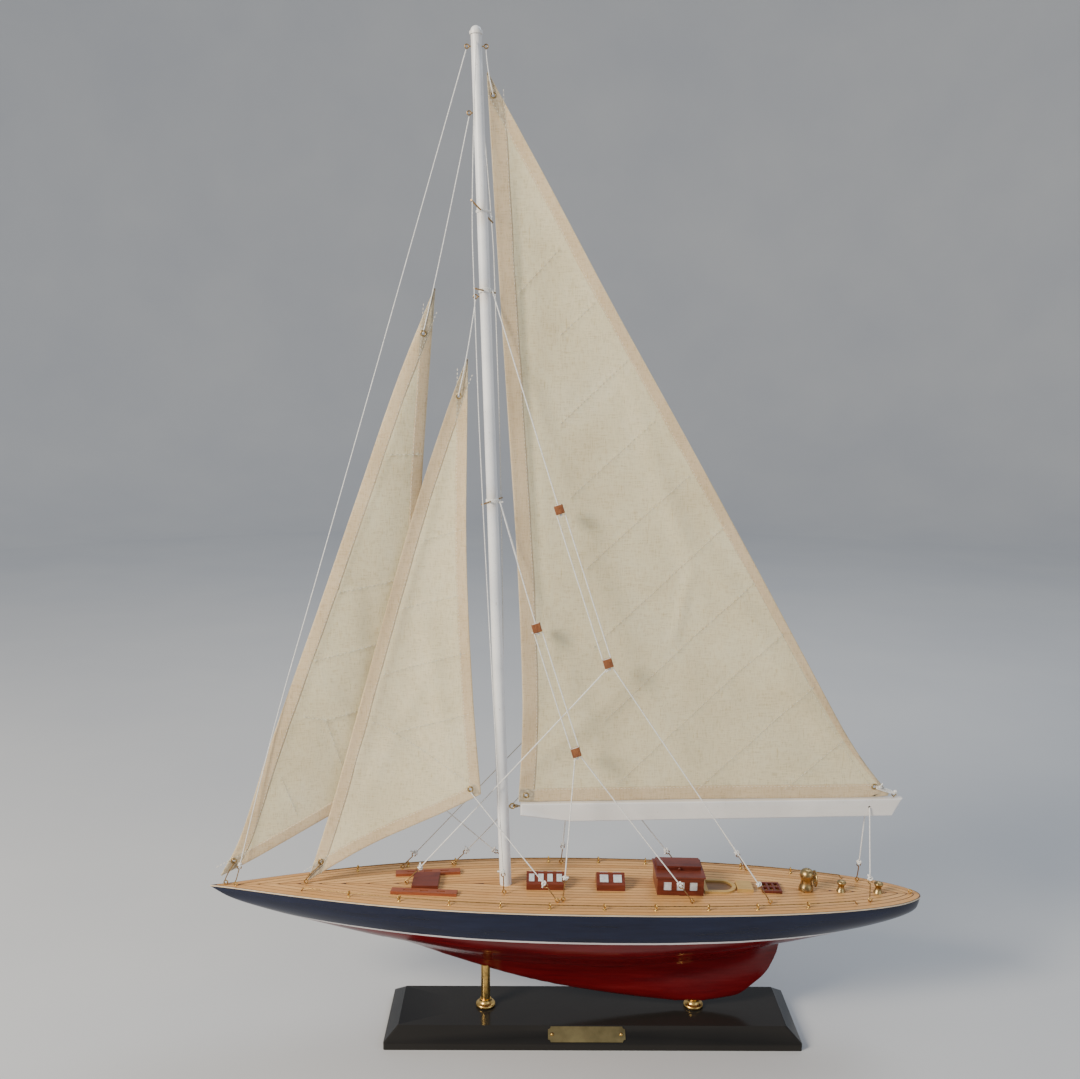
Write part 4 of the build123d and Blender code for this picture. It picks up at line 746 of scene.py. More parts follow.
bm = bmesh.new()
clew, eye = Vector((257.4, -1.2, 213.4)), Vector((273.0, -0.2, 208.3))
for shift, lift in ((0.0, 0.0), (0.5, 0.9), (-0.4, -0.8)):
    tube(bm, smooth_line([clew + Vector((0, shift - 0.7, lift)),
                          (clew + eye) / 2 + Vector((0, shift - 1.2, lift * 1.2)),
                          eye + Vector((0, shift - 1.0, lift * 0.6))], 6), 0.42, 6)
    tube(bm, smooth_line([clew + Vector((0, 1.9 + shift * 0.4, lift * 0.8)),
                          (clew + eye) / 2 + Vector((0, 1.6 + shift * 0.4, lift)),
                          eye + Vector((0, 1.0, lift * 0.5))], 6), 0.42, 6)
knot_pieces(bm, eye + Vector((0.6, -1.2, 0.9)), Vector((1, 0, 0.2)), 1.7, 0.45, seed=5)
knot_pieces(bm, clew + Vector((3.0, -1.8, 0.5)), Vector((1, 0, -0.3)), 1.2, 0.42, seed=8)
lashing = finish_mesh("clew_lashing_turns", bm, "cord", body=BOOM)
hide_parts("clew_lashing")


# ---------------------------------------------------------------- hull
def blend(points, x):
    """Monotone cubic through the points."""
    xs = [p[0] for p in points]
    ys = [p[1] for p in points]
    if x <= xs[0]:
        return ys[0]
    if x >= xs[-1]:
        return ys[-1]
    steps = [(ys[i + 1] - ys[i]) / (xs[i + 1] - xs[i]) for i in range(len(xs) - 1)]
    slopes = [steps[0]]
    for a, b in zip(steps, steps[1:]):
        slopes.append(0.0 if a * b <= 0 else 2 * a * b / (a + b))
    slopes.append(steps[-1])
    i = max(k for k in range(len(xs) - 1) if xs[k] <= x)
    h = xs[i + 1] - xs[i]
    t = (x - xs[i]) / h
    return ((1 + 2 * t) * (1 - t) ** 2 * ys[i] + t * (1 - t) ** 2 * h * slopes[i]
            + t * t * (3 - 2 * t) * ys[i + 1] + t * t * (t - 1) * h * slopes[i + 1])


def sheer(x):
    return DECK_HEIGHT - 4.5 * (x / HALF_LENGTH + 0.333) ** 2


def half_beam(x):
    s = x / HALF_LENGTH
    if s <= 0.083:
        r = min(1.0, (0.083 - s) / 1.083)
        return HALF_BEAM * max(0.0, 1 - r ** 2.4) ** 1.2
    r = min(1.0, (s - 0.083) / 0.917)
    return HALF_BEAM * max(0.0, 1 - r ** 2.1) ** 0.55


CANOE_DEPTH = [(-1, 1), (-0.945, 11), (-0.86, 20), (-0.667, 34.5), (-0.447, 48), (-0.2, 59), (0.1, 62),
               (0.4, 53.5), (0.6, 41), (0.757, 30.5), (0.86, 24), (0.95, 17), (0.985, 12.5), (1, 4.5)]
FULLNESS = [(-1.0, 0.25), (-0.5, 0.45), (0.1, 0.62), (0.6, 0.70), (1.0, 0.75)]
KEEL = [(0, 0.27, 0.44, 4.2), (3, 0.17, 0.49, 4.9), (12.5, -0.03, 0.535, 6), (27.5, -0.24, 0.582, 9),
        (43, -0.40, 0.605, 15), (54, -0.49, 0.61, 20), (62, -0.52, 0.62, 22)]
KEEL_Z = 22.3


def bezier(p, t):
    u = 1 - t
    return tuple(u ** 3 * a + 3 * u * u * t * b + 3 * u * t * t * c + t ** 3 * d for a, b, c, d in zip(*p))


def keel_half(x, height):
    """Half breadth of the keel at a station and a height above its underside."""
    if height > 62:
        return None
    fore = 300 * blend([(k[0], k[1]) for k in KEEL], height)
    aft = 300 * blend([(k[0], k[2]) for k in KEEL], height)
    wide = blend([(k[0], k[3]) for k in KEEL], height)
    if not fore < x < aft:
        return 0.0
    length = aft - fore
    low, high = 0.0, 1.0
    line = ((fore, 0.0), (fore + 0.22 * length, 1.25 * wide), (fore + 0.72 * length, 1.42 * wide), (aft, 0.0))
    for _ in range(30):
        t = (low + high) / 2
        if bezier(line, t)[0] < x:
            low = t
        else:
            high = t
    return bezier(line, (low + high) / 2)[1]


def fair(points, where, total):
    """Round the hollow between the keel and the hull, in place; where is its distance along the section."""
    count = len(points)
    middle_index = where / total * (count - 1)
    spread = 16.0 / total * (count - 1)
    for _ in range(110):
        old = [list(p) for p in points]
        for i in range(count - 1):
            weight = 0.5 * math.exp(-((i - middle_index) / spread) ** 2)
            before = old[i - 1] if i else [-old[1][0], old[1][1]]
            after = old[i + 1]
            for k in (0, 1):
                points[i][k] = old[i][k] * (1 - weight) + (before[k] + after[k]) * weight / 2
        points[0][0] = 0.0


def section(x, count=72):
    """Half of a hull section from the centre line below to the deck's edge, evenly spaced."""
    beam = max(half_beam(x), 0.05)
    deck = sheer(x) - 1.2
    top = sheer(x) + 3.0
    bottom = min(sheer(x) - blend(CANOE_DEPTH, x / 300.0), deck - 0.15)
    full = blend(FULLNESS, x / 300.0)
    shape = ((0, bottom), (full * beam, bottom), (beam * 0.985, bottom + 0.42 * (top - bottom)), (beam, top))
    canoe = [bezier(shape, i / 220) for i in range(221)]
    canoe = [p for p in canoe if p[1] <= deck]
    canoe.append((min(beam, canoe[-1][0]), deck))
    keel = []
    height = 0.0
    while height <= 61.9:
        half = keel_half(x, height)
        if half and half > 0.0:
            keel.append((half, KEEL_Z + height))
        height += 0.6
    outline = canoe
    side_length = 0.0
    if keel:
        start = keel[0]
        if start[1] < bottom - 0.3:
            side = []
            for y, z in keel:
                inside = z > bottom and any(
                    cz <= z and cy >= y for cy, cz in canoe[::6])
                if inside:
                    break
                side.append((y, z))
            meet = side[-1]
            rest = [p for p in canoe if p[0] > meet[0] and p[1] >= meet[1] - 0.8]
            outline = [(0.0, start[1])] + side + rest
            side_length = sum(math.dist(a, b) for a, b in zip([(0.0, start[1])] + side, side))
    lengths = [0.0]
    for a, b in zip(outline, outline[1:]):
        lengths.append(lengths[-1] + math.hypot(b[0] - a[0], b[1] - a[1]))
    total = lengths[-1]
    points = []
    j = 0
    for i in range(count):
        d = total * i / (count - 1)
        while j < len(lengths) - 2 and lengths[j + 1] < d:
            j += 1
        span = lengths[j + 1] - lengths[j] or 1.0
        t = min(1.0, max(0.0, (d - lengths[j]) / span))
        points.append([outline[j][0] + (outline[j + 1][0] - outline[j][0]) * t,
                       outline[j][1] + (outline[j + 1][1] - outline[j][1]) * t])
    if outline is not canoe:
        fair(points, side_length, total)
    return points


def hull_stations():
    xs = []
    x = -299.6
    while x < 299.95:
        xs.append(x)
        near = min(x + 300.6, 300.4 - x)
        step = 0.25 + 0.14 * near
        for mark in (183.0, -147.0, 132.0, 81.0):
            step = min(step, 0.5 + 0.12 * abs(x - mark))
        x += min(step, 4.0)
    xs.append(299.95)
    return xs


bm = bmesh.new()
rows = []
for x in hull_stations():
    half = section(x)
    ring = [bm.verts.new((x, -y, z)) for y, z in reversed(half[1:])]
    ring.append(bm.verts.new((x, 0.0, half[0][1])))
    ring += [bm.verts.new((x, y, z)) for y, z in half[1:]]
    rows.append(ring)
for a, b in zip(rows, rows[1:]):
    bridge(bm, a, b)
bm.faces.new(rows[0])
bm.faces.new(list(reversed(rows[-1])))
hull_piece = finish_mesh("painted_hull", bm, "hull_paint", limit=50)
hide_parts("hull")


# ---------------------------------------------------------------- deck planking
PLANK = 4.75
SEAM = 0.8


def edge_line():
    """Points on the deck's edge to starboard, close together where it turns."""
    points = []
    count = 420
    for i in range(count + 1):
        a = math.pi * i / count
        x = -300.0 * math.cos(a)
        points.append(Vector((x, half_beam(x))))
    return points


def inward(points):
    result = []
    for i, p in enumerate(points):
        a, b = points[max(i - 1, 0)], points[min(i + 1, len(points) - 1)]
        d = (b - a).normalized()
        result.append(Vector((d.y, -d.x)))
    result[0] = Vector((result[1].x, result[1].y))
    result[-1] = Vector((-1.0, 0.0))
    return result


def plank_mesh():
    bm = bmesh.new()
    tone = bm.verts.layers.float.new("tone")
    rnd = random.Random(11)
    edge = edge_line()
    normals = inward(edge)
    for side in (-1, 1):
        for k in range(12):
            outer = 0.7 + k * PLANK + (SEAM / 2 if k else 0.0)
            inner = 0.7 + (k + 1) * PLANK - SEAM / 2
            shade = rnd.random()
            strip = []
            for p, n in zip(edge, normals):
                pair = []
                for d in (outer, inner):
                    q = p + n * d
                    pair.append((q.x, q.y))
                strip.append(pair)
            previous = None
            for (ox, oy), (ix, iy) in strip:
                live = oy > SEAM / 2 + 0.02
                if not live:
                    previous = None
                    continue
                if iy < SEAM / 2:
                    t = (oy - SEAM / 2) / max(oy - iy, 1e-6)
                    ix, iy = ox + (ix - ox) * t, SEAM / 2
                row = []
                for x, y in ((ox, oy), (ix, iy)):
                    for lift in (0.0, 0.16):
                        v = bm.verts.new((x, side * y, sheer(x) + lift))
                        v[tone] = min(1.0, max(0.0, shade + 0.12 * noise.noise(Vector((x * 0.02, k, side)))))
                        row.append(v)
                if previous:
                    a, b = previous, row
                    if abs(ox - last_x) < 12 and (b[1].co - a[1].co).length < 14:
                        for i, j in ((1, 3), (0, 1), (3, 2)):
                            try:
                                bm.faces.new((a[i], a[j], b[j], b[i]))
                            except ValueError:
                                pass
                previous = row
                last_x = ox
    bmesh.ops.dissolve_degenerate(bm, dist=0.004, edges=bm.edges)
    return bm


planks = finish_mesh("deck_planking", plank_mesh(), "planks", limit=35)


# ---------------------------------------------------------------- sails
def spline_points(points, count, per_run=24):
    line = smooth_line([Vector((p[0], p[1], 0)) for p in points], per_run)
    lengths = [0.0]
    for a, b in zip(line, line[1:]):
        lengths.append(lengths[-1] + (b - a).length)
    result = []
    j = 0
    for i in range(count + 1):
        d = lengths[-1] * i / count
        while j < len(lengths) - 2 and lengths[j + 1] < d:
            j += 1
        span = lengths[j + 1] - lengths[j] or 1.0
        result.append(line[j].lerp(line[j + 1], min(1.0, (d - lengths[j]) / span)))
    return result


def segment_distance(p, a, b):
    ab = b - a
    t = max(0.0, min(1.0, (p - a).dot(ab) / max(ab.length_squared, 1e-9)))
    return (p - (a + ab * t)).length, t


class Sail:
    """A sail in its own plane: x aft, y up, and a depth towards port."""

    def __init__(self, name, origin, across, upright, luff, leech, foot, seams, folds, belly, rows, columns):
        self.name = name
        self.origin = Vector(origin)
        self.across = Vector(across)
        self.upright = Vector(upright)
        self.port = self.across.cross(self.upright).normalized()
        self.rows, self.columns = rows, columns
        self.luff = spline_points(luff, rows)
        self.leech = spline_points(list(reversed(leech)), rows)
        self.foot = spline_points(list(reversed(foot)), columns)
        self.seams = [[Vector((x, y, 0)) for x, y in seam] for seam in seams]
        self.folds = [(Vector((a[0], a[1], 0)), Vector((b[0], b[1], 0)), w, h) for a, b, w, h in folds]
        self.belly = belly
        self.edges = [self.luff, self.leech, self.foot]

    def flat(self, s, t):
        i = min(int(s * self.rows), self.rows - 1)
        f = s * self.rows - i
        left = self.luff[i].lerp(self.luff[i + 1], f)
        right = self.leech[i].lerp(self.leech[i + 1], f)
        point = left.lerp(right, t)
        j = min(int(t * self.columns), self.columns - 1)
        g = t * self.columns - j
        foot = self.foot[j].lerp(self.foot[j + 1], g)
        straight = self.foot[0].lerp(self.foot[-1], t)
        return point + (foot - straight) * (1 - s) ** 6

    def depth(self, p, s, t):
        """How far the cloth stands to port of its plane."""
        d = -self.belly * math.sin(math.pi * min(1, t)) ** 0.8 * math.sin(math.pi * min(1.0, s * 0.96 + 0.04)) ** 0.7
        d += 0.9 * noise.noise(Vector((p.x * 0.016, p.y * 0.011, 3.0))) * min(1, 4 * t, 4 * (1 - t) + 0.35)
        d += 0.35 * noise.noise(Vector((p.x * 0.05 + p.y * 0.02, p.y * 0.045, 9.0)))
        for a, b, width, height in self.folds:
            dist, u = segment_distance(p, a, b)
            d += height * math.exp(-(dist / width) ** 2) * math.sin(math.pi * min(1.0, max(0.0, u))) ** 0.6
        for seam in self.seams:
            for a, b in zip(seam, seam[1:]):
                dist, u = segment_distance(p, a, b)
                if dist < 7 and 0 < u < 1:
                    along = (b - a).length * u
                    d += (0.50 + 0.22 * math.sin(along * 1.15)) * math.exp(-(dist / 1.5) ** 2)
                    d -= 0.22 * math.exp(-((dist - 3.2) / 2.2) ** 2)
        return d

    def place(self, p, depth):
        return self.origin + self.across * p.x + self.upright * p.y + self.port * depth

    def point(self, s, t, lift=0.0):
        p = self.flat(s, t)
        return self.place(p, self.depth(p, s, t) + lift)

    def locate(self, p):
        """s and t of a flat point, by search."""
        best = (1e9, 0, 0)
        for i in range(0, self.rows + 1, 2):
            a, b = self.luff[i], self.leech[i]
            width = max((b - a).length, 1e-6)
            t = max(0.0, min(1.0, (p - a).dot(b - a) / width ** 2))
            q = self.flat(i / self.rows, t)
            if (q - p).length < best[0]:
                best = ((q - p).length, i / self.rows, t)
        s = best[1]
        step = 1.0 / self.rows
        for _ in range(12):
            for trial in (s - step, s + step):
                if 0 <= trial <= 1:
                    i = min(int(trial * self.rows), self.rows - 1)
                    f = trial * self.rows - i
                    a = self.luff[i].lerp(self.luff[i + 1], f)
                    b = self.leech[i].lerp(self.leech[i + 1], f)
                    t = max(0.0, min(1.0, (p - a).dot(b - a) / max((b - a).length, 1e-6) ** 2))
                    d = (self.flat(trial, t) - p).length
                    if d < best[0]:
                        best = (d, trial, t)
                        s = trial
            step *= 0.6
        return best[1], best[2]

    def on_cloth(self, p, lift):
        s, t = self.locate(p)
        return self.place(p, self.depth(p, s, t) + lift)

    def area(self):
        outline = self.luff + list(reversed(self.leech)) + list(reversed(self.foot))[1:-1]
        total = 0.0
        for a, b in zip(outline, outline[1:] + outline[:1]):
            total += a.x * b.y - b.x * a.y
        return abs(total) / 2


def cloth_mesh(sail, thickness):
    """The cloth as a thin closed sheet."""
    bm = bmesh.new()
    sides = []
    for lift in (thickness / 2, -thickness / 2):
        grid = []
        for i in range(sail.rows + 1):
            s = i / sail.rows
            grid.append([bm.verts.new(sail.point(s, j / sail.columns,
                                                 lift)) for j in range(sail.columns + 1)])
        sides.append(grid)
    for n, grid in enumerate(sides):
        for i in range(sail.rows):
            for j in range(sail.columns):
                quad = (grid[i][j], grid[i][j + 1], grid[i + 1][j + 1], grid[i + 1][j])
                bm.faces.new(quad if n == 0 else tuple(reversed(quad)))
    front, back = sides
    loop = [(0, j) for j in range(sail.columns + 1)]
    loop += [(i, sail.columns) for i in range(1, sail.rows + 1)]
    loop += [(sail.rows, j) for j in range(sail.columns - 1, -1, -1)]
    loop += [(i, 0) for i in range(sail.rows - 1, 0, -1)]
    for (a, b), (c, d) in zip(loop, loop[1:] + loop[:1]):
        bm.faces.new((front[a][b], back[a][b], back[c][d], front[c][d]))
    return bm


def hem_strip(bm, sail, line, inner, width, half, seed):
    """Add a folded hem along one edge: a band with a rounded fold outside and a soft inner side."""
    steps = 90
    rows = []
    for i in range(steps + 1):
        u = i / steps
        k = min(int(u * (len(line) - 1)), len(line) - 2)
        p = line[k].lerp(line[k + 1], u * (len(line) - 1) - k)
        ahead = (line[k + 1] - line[k]).normalized()
        n = Vector((-ahead.y, ahead.x, 0)) * inner
        wide = width * (1 + 0.06 * noise.noise(Vector((u * 14, seed, 0))))
        wave = 0.45 * noise.noise(Vector((u * 22, seed * 3.1, 5)))
        ring = []
        profile = [(-0.5, 0.0), (-0.3, 0.75), (0.6, 1.0), (2.4, 1.05 + wave), (wide * 0.5, 0.85 - 0.5 * wave),
                   (wide - 1.8, 1.05 + wave * 0.5), (wide - 0.7, 0.9), (wide, 0.35)]
        both = profile + [(d, -h) for d, h in reversed(profile[1:])]
        for d, h in both:
            q = p + n * d
            s, t = sail.locate(q)
            if d > 0.7:
                q = sail.flat(s, t)
            ring.append(bm.verts.new(sail.place(q, sail.depth(q, s, t) + h * half)))
        rows.append(ring)
    for a, b in zip(rows, rows[1:]):
        bridge(bm, a, b)
    bm.faces.new(rows[0])
    bm.faces.new(list(reversed(rows[-1])))


def stitches(bm, sail, line, lift, pitch=3.1, length=1.9, width=0.42):
    """Add hand stitches along a line, on both faces of the cloth."""
    total = sum((b - a).length for a, b in zip(line, line[1:]))
    count = max(2, int(total / pitch))
    lengths = [0.0]
    for a, b in zip(line, line[1:]):
        lengths.append(lengths[-1] + (b - a).length)

    def at(d):
        k = max(i for i in range(len(line) - 1) if lengths[i] <= d + 1e-6)
        span = lengths[k + 1] - lengths[k] or 1.0
        return line[k].lerp(line[k + 1], min(1.0, (d - lengths[k]) / span))

    for i in range(count):
        start = total * (i + 0.15) / count
        a, b = at(start), at(min(total, start + length))
        s, t = sail.locate((a + b) / 2)
        base = sail.depth((a + b) / 2, s, t)
        for face in (-1, 1):
            ends = [sail.place(a, base + face * (lift - 0.12)),
                    sail.place((a + b) / 2, base + face * (lift + 0.12)),
                    sail.place(b, base + face * (lift - 0.12))]
            tube(bm, ends, width / 2, 5, taper=[0.6, 1.0, 0.6])


def offset_line(line, inner, distance, trim=0.02):
    result = []
    last = len(line) - 1
    for k in range(int(last * trim), last - int(last * trim) + 1, 3):
        a, b = line[max(k - 1, 0)], line[min(k + 1, last)]
        ahead = (b - a).normalized()
        result.append(line[k] + Vector((-ahead.y, ahead.x, 0)) * (inner * distance))
    return result


def open_holes(bm, sail, places, radius=1.75, reach=4.5, finest=0.6):
    """Open the grommet holes in the hems, whose strips overlap at the corners."""
    for x, y in places:
        def spot(co):
            away = co - sail.origin
            return Vector((away.dot(sail.across) - x, away.dot(sail.upright) - y, 0))

        for _ in range(3):
            near = [e for e in bm.edges if e.calc_length() > finest
                    and segment_distance(Vector((0, 0, 0)), spot(e.verts[0].co),
                                         spot(e.verts[1].co))[0] < reach]
            if near:
                bmesh.ops.subdivide_edges(bm, edges=near, cuts=1, use_grid_fill=True)
        inside = [f for f in bm.faces if spot(f.calc_center_median()).length < radius]
        bmesh.ops.delete(bm, geom=inside, context="FACES")


def punch(obj, sail, places, radius=1.5):
    """Cut the grommet holes through the cloth."""
    before = len(obj.data.vertices)
    bm = bmesh.new()
    for x, y in places:
        s, t = sail.locate(Vector((x, y, 0)))
        base = sail.depth(Vector((x, y, 0)), s, t)
        tube(bm, [sail.place(Vector((x, y, 0)), base - 8), sail.place(Vector((x, y, 0)), base + 8)], radius,
             20)
    cutter = finish_mesh("cutter", bm, "hem", body=None)
    modifier = obj.modifiers.new("holes", "BOOLEAN")
    modifier.operation = "DIFFERENCE"
    modifier.solver = "EXACT"
    modifier.object = cutter
    bpy.context.view_layer.update()
    cut = bpy.data.meshes.new_from_object(obj.evaluated_get(bpy.context.evaluated_depsgraph_get()))
    obj.modifiers.clear()
    old = obj.data
    obj.data = cut
    if len(cut.vertices) < before // 2:
        raise RuntimeError("cutting the holes emptied " + obj.name)
    bpy.data.meshes.remove(old)
    bpy.data.objects.remove(cutter)


def grommet_piece(bm, sail, x, y):
    """Add a pressed eyelet, rolled over on both faces."""
    centre = Vector((x, y, 0))
    s, t = sail.locate(centre)
    base = sail.depth(centre, s, t)
    rings = []
    profile = [(1.25, 0.0), (1.35, 0.75), (1.8, 1.1), (2.35, 0.95), (2.6, 0.62), (2.35, 0.5), (2.35, -0.5),
               (2.6, -0.62), (2.35, -0.95), (1.8, -1.1), (1.35, -0.75)]
    for k in range(28):
        a = 2 * math.pi * k / 28
        rings.append([bm.verts.new(sail.place(centre + Vector((math.cos(a) * r, math.sin(a) * r, 0)),
                                              base + h))
                      for r, h in profile])
    for a, b in zip(rings, rings[1:] + rings[:1]):
        for i in range(len(profile)):
            j = (i + 1) % len(profile)
            bm.faces.new((a[i], b[i], b[j], a[j]))


HEM_HALF = 0.62


def make_sail(sail, node, grommet_places, hems, body):
    cloth = finish_mesh(sail.name + "_cloth", cloth_mesh(sail, 0.5), "sailcloth", body=body, limit=60)
    punch(cloth, sail, grommet_places)
    hem_bm = bmesh.new()
    stitch_bm = bmesh.new()
    for k, (line, inner, width) in enumerate(hems):
        hem_strip(hem_bm, sail, line, inner, width, HEM_HALF, k + len(sail.name))
        stitches(stitch_bm, sail, offset_line(line, inner, width - 1.1), HEM_HALF)
    for seam in sail.seams:
        stitches(stitch_bm, sail, seam, 0.42, 3.4, 2.2)
    bmesh.ops.remove_doubles(hem_bm, verts=hem_bm.verts, dist=0.01)
    bmesh.ops.dissolve_degenerate(hem_bm, edges=hem_bm.edges, dist=0.01)
    open_holes(hem_bm, sail, grommet_places)
    hem = finish_mesh(sail.name + "_hems", hem_bm, "hem", body=body, limit=70)
    thread = finish_mesh(sail.name + "_stitching", stitch_bm, "stitch", body=body)
    ring_bm = bmesh.new()
    for x, y in grommet_places:
        grommet_piece(ring_bm, sail, x, y)
    rings = finish_mesh(sail.name + "_eyelets", ring_bm, "old_brass", body=body)
    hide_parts(node)
    sail.area() * MM * MM
    return rings


def boom_top(x):
    return 198.4 + 6.0 * (x - BOOM_ENDS[0]) / (BOOM_ENDS[1] - BOOM_ENDS[0])


mainsail = Sail(
    "mainsail", (0, 0, 0), (1, 0, 0), (0, 0, 1),
    luff=[(-39.8, boom_top(-39.8) + 0.6), (-36.8, 280), (-41.5, 400), (-49.5, 520), (-57.5, 640),
          (-66.0, 777.0)],
    leech=[(-66.0, 777.0), (-21.5, 699.8), (30.4, 607), (88.7, 506.9), (141.6, 414.8), (190.7, 328),
           (233.5, 253.3), (266.0, boom_top(266) + 5.0)],
    foot=[(266.0, boom_top(266) + 5.0), (254.0, boom_top(254) + 0.6), (100, boom_top(100) + 0.6),
          (-39.8, boom_top(-39.8) + 0.6)],
    seams=[[(-42.0, 614.0), (-10.0, 648.0)], [(-9.2, 582.0), (18.4, 607.5)], [(-8.5, 512.3), (44.1, 562.5)],
           [(0.0, 453.4), (67.3, 515.8)], [(13.2, 395.3), (95.6, 472.4)], [(20.0, 330.0), (65.3, 372.6),
                                                                           (126.4, 433.5)],
           [(30.0, 268.0), (91.4, 328.3), (149.7, 385.4)], [(42.0, 214.0), (93.0, 264.9), (175.9, 344.1)],
           [(108.9, 209.6), (202.7, 299.6)], [(181.4, 210.0), (228.3, 253.0)]],
    folds=[((-24, 330), (-52, 740), 5.0, 1.6), ((-18, 300), (-44, 700), 5.0, -1.3),
           ((240, 228), (60, 470), 11.0, 1.7), ((235, 224), (20, 400), 12.0, -1.4),
           ((235, 222), (10, 300), 11.0, 1.3), ((120, 340), (40, 560), 8.0, 1.3), ((85, 330), (100, 400),
                                                                                   5.0, 1.5),
           ((-30, 230), (60, 300), 9.0, 1.0), ((-35, 240), (10, 360), 8.0, -0.9)],
    belly=6.0, rows=190, columns=100)
staysail = Sail(
    "staysail", (-216.9, 0, 128.72), (0.94309, -0.15643, -0.29346), (0.29711, 0, 0.95484),
    luff=[(0, 0), (1.0, 75), (-2.0, 190), (-5.0, 320), (-3.2, 410), (0, 455)],
    leech=[(0, 455), (16.6, 399.8), (46.6, 302.9), (86.8, 193.9), (115.7, 123.5)],
    foot=[(115.7, 123.5), (94.8, 101.3), (38.9, 46.5), (0, 0)],
    seams=[[(8.0, 306.0), (36.4, 325.0)], [(8.0, 247.5), (53.9, 276.1)], [(9.0, 190.0), (69.7, 231.0)],
           [(32.5, 146.1), (87.8, 184.1)], [(12.0, 149.6), (30.5, 147.2), (99.8, 129.9)]],
    folds=[((12, 60), (6, 400), 4.5, 1.2), ((96, 120), (20, 260), 8.0, 1.2),
           ((92, 112), (14, 180), 8.0, -1.0),
           ((20, 60), (50, 240), 7.0, 0.9)],
    belly=4.0, rows=150, columns=46)
jib = Sail(
    "jib", (-290.2, 0, 132.59), (0.92103, 0.17365, -0.34864), (0.35402, 0, 0.93524),
    luff=[(0, 0), (4.5, 40), (1.4, 128), (0.5, 240), (-1.0, 340), (-2.6, 440), (0, 518)],
    leech=[(0, 518), (17, 458.8), (45.2, 363.2), (84, 248), (116, 138)],
    foot=[(116, 138), (67.9, 78.2), (21.2, 23.4), (0, 0)],
    seams=[[(11.0, 384.0), (36.6, 393.6)], [(10.0, 264.0), (43.1, 284.2), (62.0, 297.0)],
           [(11.0, 203.6), (48.6, 229.3), (78.0, 249.0)], [(18.3, 155.4), (36.5, 158.4), (59.2, 174.0),
                                                           (92, 205)],
           [(36.5, 158.4), (63.2, 123.1)], [(18.0, 99.8), (42.1, 70.5)]],
    folds=[((10, 60), (8, 440), 4.5, 1.2), ((98, 134), (20, 300), 8.0, -1.1),
           ((94, 126), (14, 200), 8.0, 1.0)],
    belly=-4.0, rows=170, columns=46)

main_rings = make_sail(
    mainsail, "mainsail", [(-61.6, 760.5), (-34.0, 204.49), (256.5, 213.27)],
    [(mainsail.luff, -1, 12.5), (mainsail.leech, 1, 8.5), (mainsail.foot, 1, 11.0)],
    BOOM)
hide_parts("mainsail_grommets")
stay_rings = make_sail(
    staysail, "staysail", [(1.8, 425.2), (5.5, 19.5), (106.7, 124.2)],
    [(staysail.luff, -1, 9.5), (staysail.leech, 1, 9.0), (staysail.foot, 1, 9.5)],
    HULL)
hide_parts("headsail_grommets")
make_sail(
    jib, "jib", [(3.4, 482.4), (5.6, 16.0), (106.5, 135.5)],
    [(jib.luff, -1, 9.5), (jib.leech, 1, 9.0), (jib.foot, 1, 9.5)],
    HULL)


# ---------------------------------------------------------------- stanchions
STANCHION_SHARES = (-0.597, -0.456, -0.319, -0.18, -0.047, 0.1, 0.238, 0.382, 0.516, 0.658)
RAIL_INSET = 8.6
RAIL_LIFT = 3.4


def rail_point(share, side, lift=0.0):
    x = share * HALF_LENGTH
    return Vector((x, side * (half_beam(x) - RAIL_INSET), sheer(x) + lift))


def turned_post(bm, foot, profile, sides=16):
    """Add a solid turned about an upright axis from (radius, height) points."""
    turns = [2 * math.pi * k / sides for k in range(sides)]
    rows = [[bm.verts.new(foot + Vector((r * math.cos(a), r * math.sin(a), h))) for a in turns]
            for r, h in profile]
    for a, b in zip(rows, rows[1:]):
        bridge(bm, a, b)
    bm.faces.new(rows[0])
    bm.faces.new(list(reversed(rows[-1])))


bm = bmesh.new()
turn_rnd = random.Random(41)
for share in STANCHION_SHARES:
    for side in (-1, 1):
        foot = rail_point(share, side)
        centre = rail_point(share, side, RAIL_LIFT)
        along = (rail_point(share + 0.02, side) - rail_point(share - 0.02, side)).normalized()
        turned_post(bm, foot, [(1.55, -0.1), (1.6, 0.35), (1.1, 0.75), (0.62, 0.95), (0.55, 1.4), (0.62, 1.9),
                               (0.9, 2.15), (0.5, 2.35)])
        swing = Matrix.Rotation(turn_rnd.uniform(-0.75, 0.75), 3, "Z")
        across = swing @ along.cross(Vector((0, 0, 1))).normalized()
        ring = arc(centre, across, Vector((0, 0, 1)), 1.4, 0, 350, 20)
        tube(bm, ring, 0.52, 8, closed=True)
posts = finish_mesh("stanchion_posts", bm, "brass")
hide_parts("stanchions")


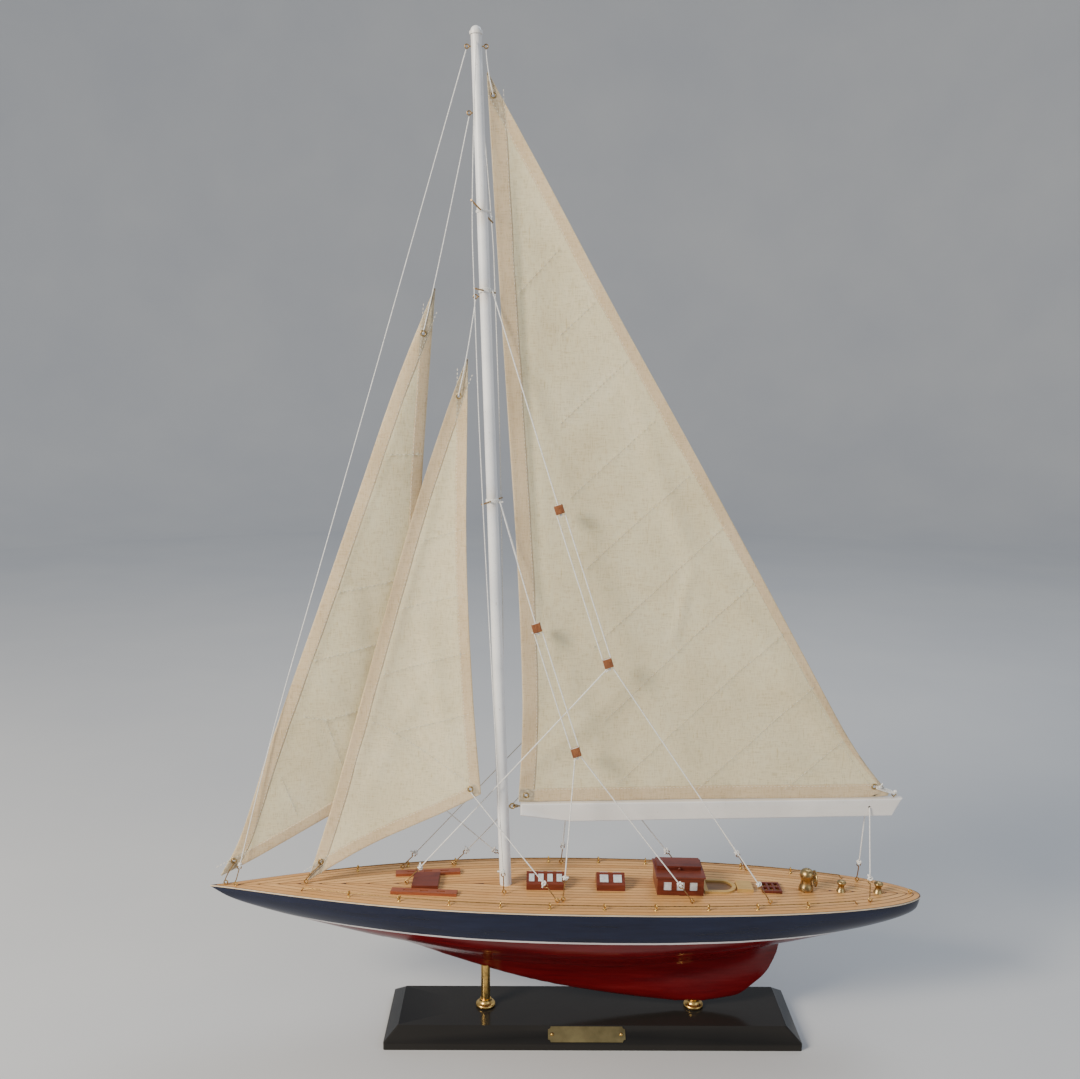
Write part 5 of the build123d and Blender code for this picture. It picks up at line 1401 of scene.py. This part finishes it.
# ---------------------------------------------------------------- finishes of the carried pieces
finishes = {
    "base_plinth": "black_lacquer", "nameplate": "plate", "nameplate_pins": "brass",
    "pillar_front": "brass", "pillar_rear": "brass", "stand_screws": "steel", "deck": "deck_wood",
    "mast": "white_paint", "mast_cap": "white_paint", "lower_crosstree": "bronze_wire",
    "middle_crosstree": "bronze_wire", "upper_crosstree": "bronze_wire", "mast_eyes": "bronze_wire",
    "gooseneck_eye": "old_brass", "boom": "white_paint", "boom_eyes": "old_brass",
    "deck_strip_port": "strip_wood", "deck_strip_starboard": "strip_wood", "fore_hatch": "mahogany",
    "fore_skylight": "mahogany", "aft_skylight": "mahogany", "skylight_panes": "pane",
    "deckhouse": "mahogany", "deckhouse_windows": "pane", "deckhouse_roof": "mahogany",
    # The cockpit floor gets the dark wood that carries the painted shade of the well.
    "sliding_hatch": "mahogany", "cockpit_coaming": "golden_wood", "cockpit_floor": "well_wood",
    "aft_hatch": "golden_wood", "grating": "mahogany", "binnacle": "old_brass", "steering_wheel": "old_brass",
    "winches": "old_brass", "rail_port": "bronze_wire", "rail_starboard": "bronze_wire",
    "deck_eyes": "brass",
}
for name, look in finishes.items():
    obj = nodes[name]
    if not obj.material_slots:
        obj.data.materials.append(looks[look])
    for place in obj.material_slots:
        place.material = looks[look]


# ---------------------------------------------------------------- floor and light
def turned_sheet(profile, count=96):
    """Turn a profile of (radius, height) points round the upright axis."""
    bm = bmesh.new()
    turns = [2 * math.pi * k / count for k in range(count)]
    rows = [[bm.verts.new((r * math.cos(a), r * math.sin(a), z)) for a in turns] for r, z in profile]
    for a, b in zip(rows, rows[1:]):
        bridge(bm, a, b)
    if profile[0][1] == 0.0 and profile[0][0] < 1000.0:
        bm.faces.new(rows[0])
    return bm


def make_floor():
    """A plain floor that curves up into a plain round backdrop, far outside the lights."""
    material, tree, shader = new_material("pale_floor")
    cloud = noise_of(tree, 2.5, 4.0)
    tree.links.new(ramp(tree, cloud, [(0.3, (0.55, 0.555, 0.57)), (0.7, (0.60, 0.60, 0.60))]),
                   shader.inputs["Base Color"])
    shader.inputs["Roughness"].default_value = 0.6
    looks["floor"] = material
    finish_mesh("floor", turned_sheet([(500.0, 0.0), (1500.0, 0.0), (3000.0, 0.0)]), "floor",
                         body=None)
    curve = [(3000 + 1200 * math.sin(a), 1200 - 1200 * math.cos(a))
             for a in (math.pi / 2 * k / 16 for k in range(17))]
    wall = finish_mesh("backdrop", turned_sheet(curve + [(4200.0, 5200.0)]), "floor", body=None)
    wall.visible_shadow = False
    wall.visible_diffuse = False
    wall.visible_glossy = False


make_floor()


def area_light(name, place, target, size, power, colour):
    data = bpy.data.lights.new(name, "AREA")
    data.shape = "RECTANGLE"
    data.size, data.size_y = size
    data.energy = power
    data.color = colour
    obj = bpy.data.objects.new(name, data)
    scene.collection.objects.link(obj)
    obj.location = place
    obj.rotation_mode = "QUATERNION"
    obj.rotation_quaternion = (Vector(target) - Vector(place)).to_track_quat("-Z", "Y")


area_light("key", (-1.7, -1.25, 1.35), (0.0, 0.0, 0.35), (0.7, 0.7), 74.0, (1.0, 0.91, 0.76))
area_light("fill", (1.9, -1.6, 1.1), (0.0, 0.0, 0.35), (1.4, 1.2), 9.0, (0.80, 0.89, 1.0))
area_light("rim", (0.9, 1.0, 1.9), (0.0, 0.0, 0.4), (1.2, 0.8), 12.0, (0.82, 0.90, 1.0))
world = bpy.data.worlds.new("studio")
scene.world = world
world.use_nodes = True
world.node_tree.nodes["Background"].inputs["Color"].default_value = (0.80, 0.86, 0.95, 1.0)
world.node_tree.nodes["Background"].inputs["Strength"].default_value = 0.50
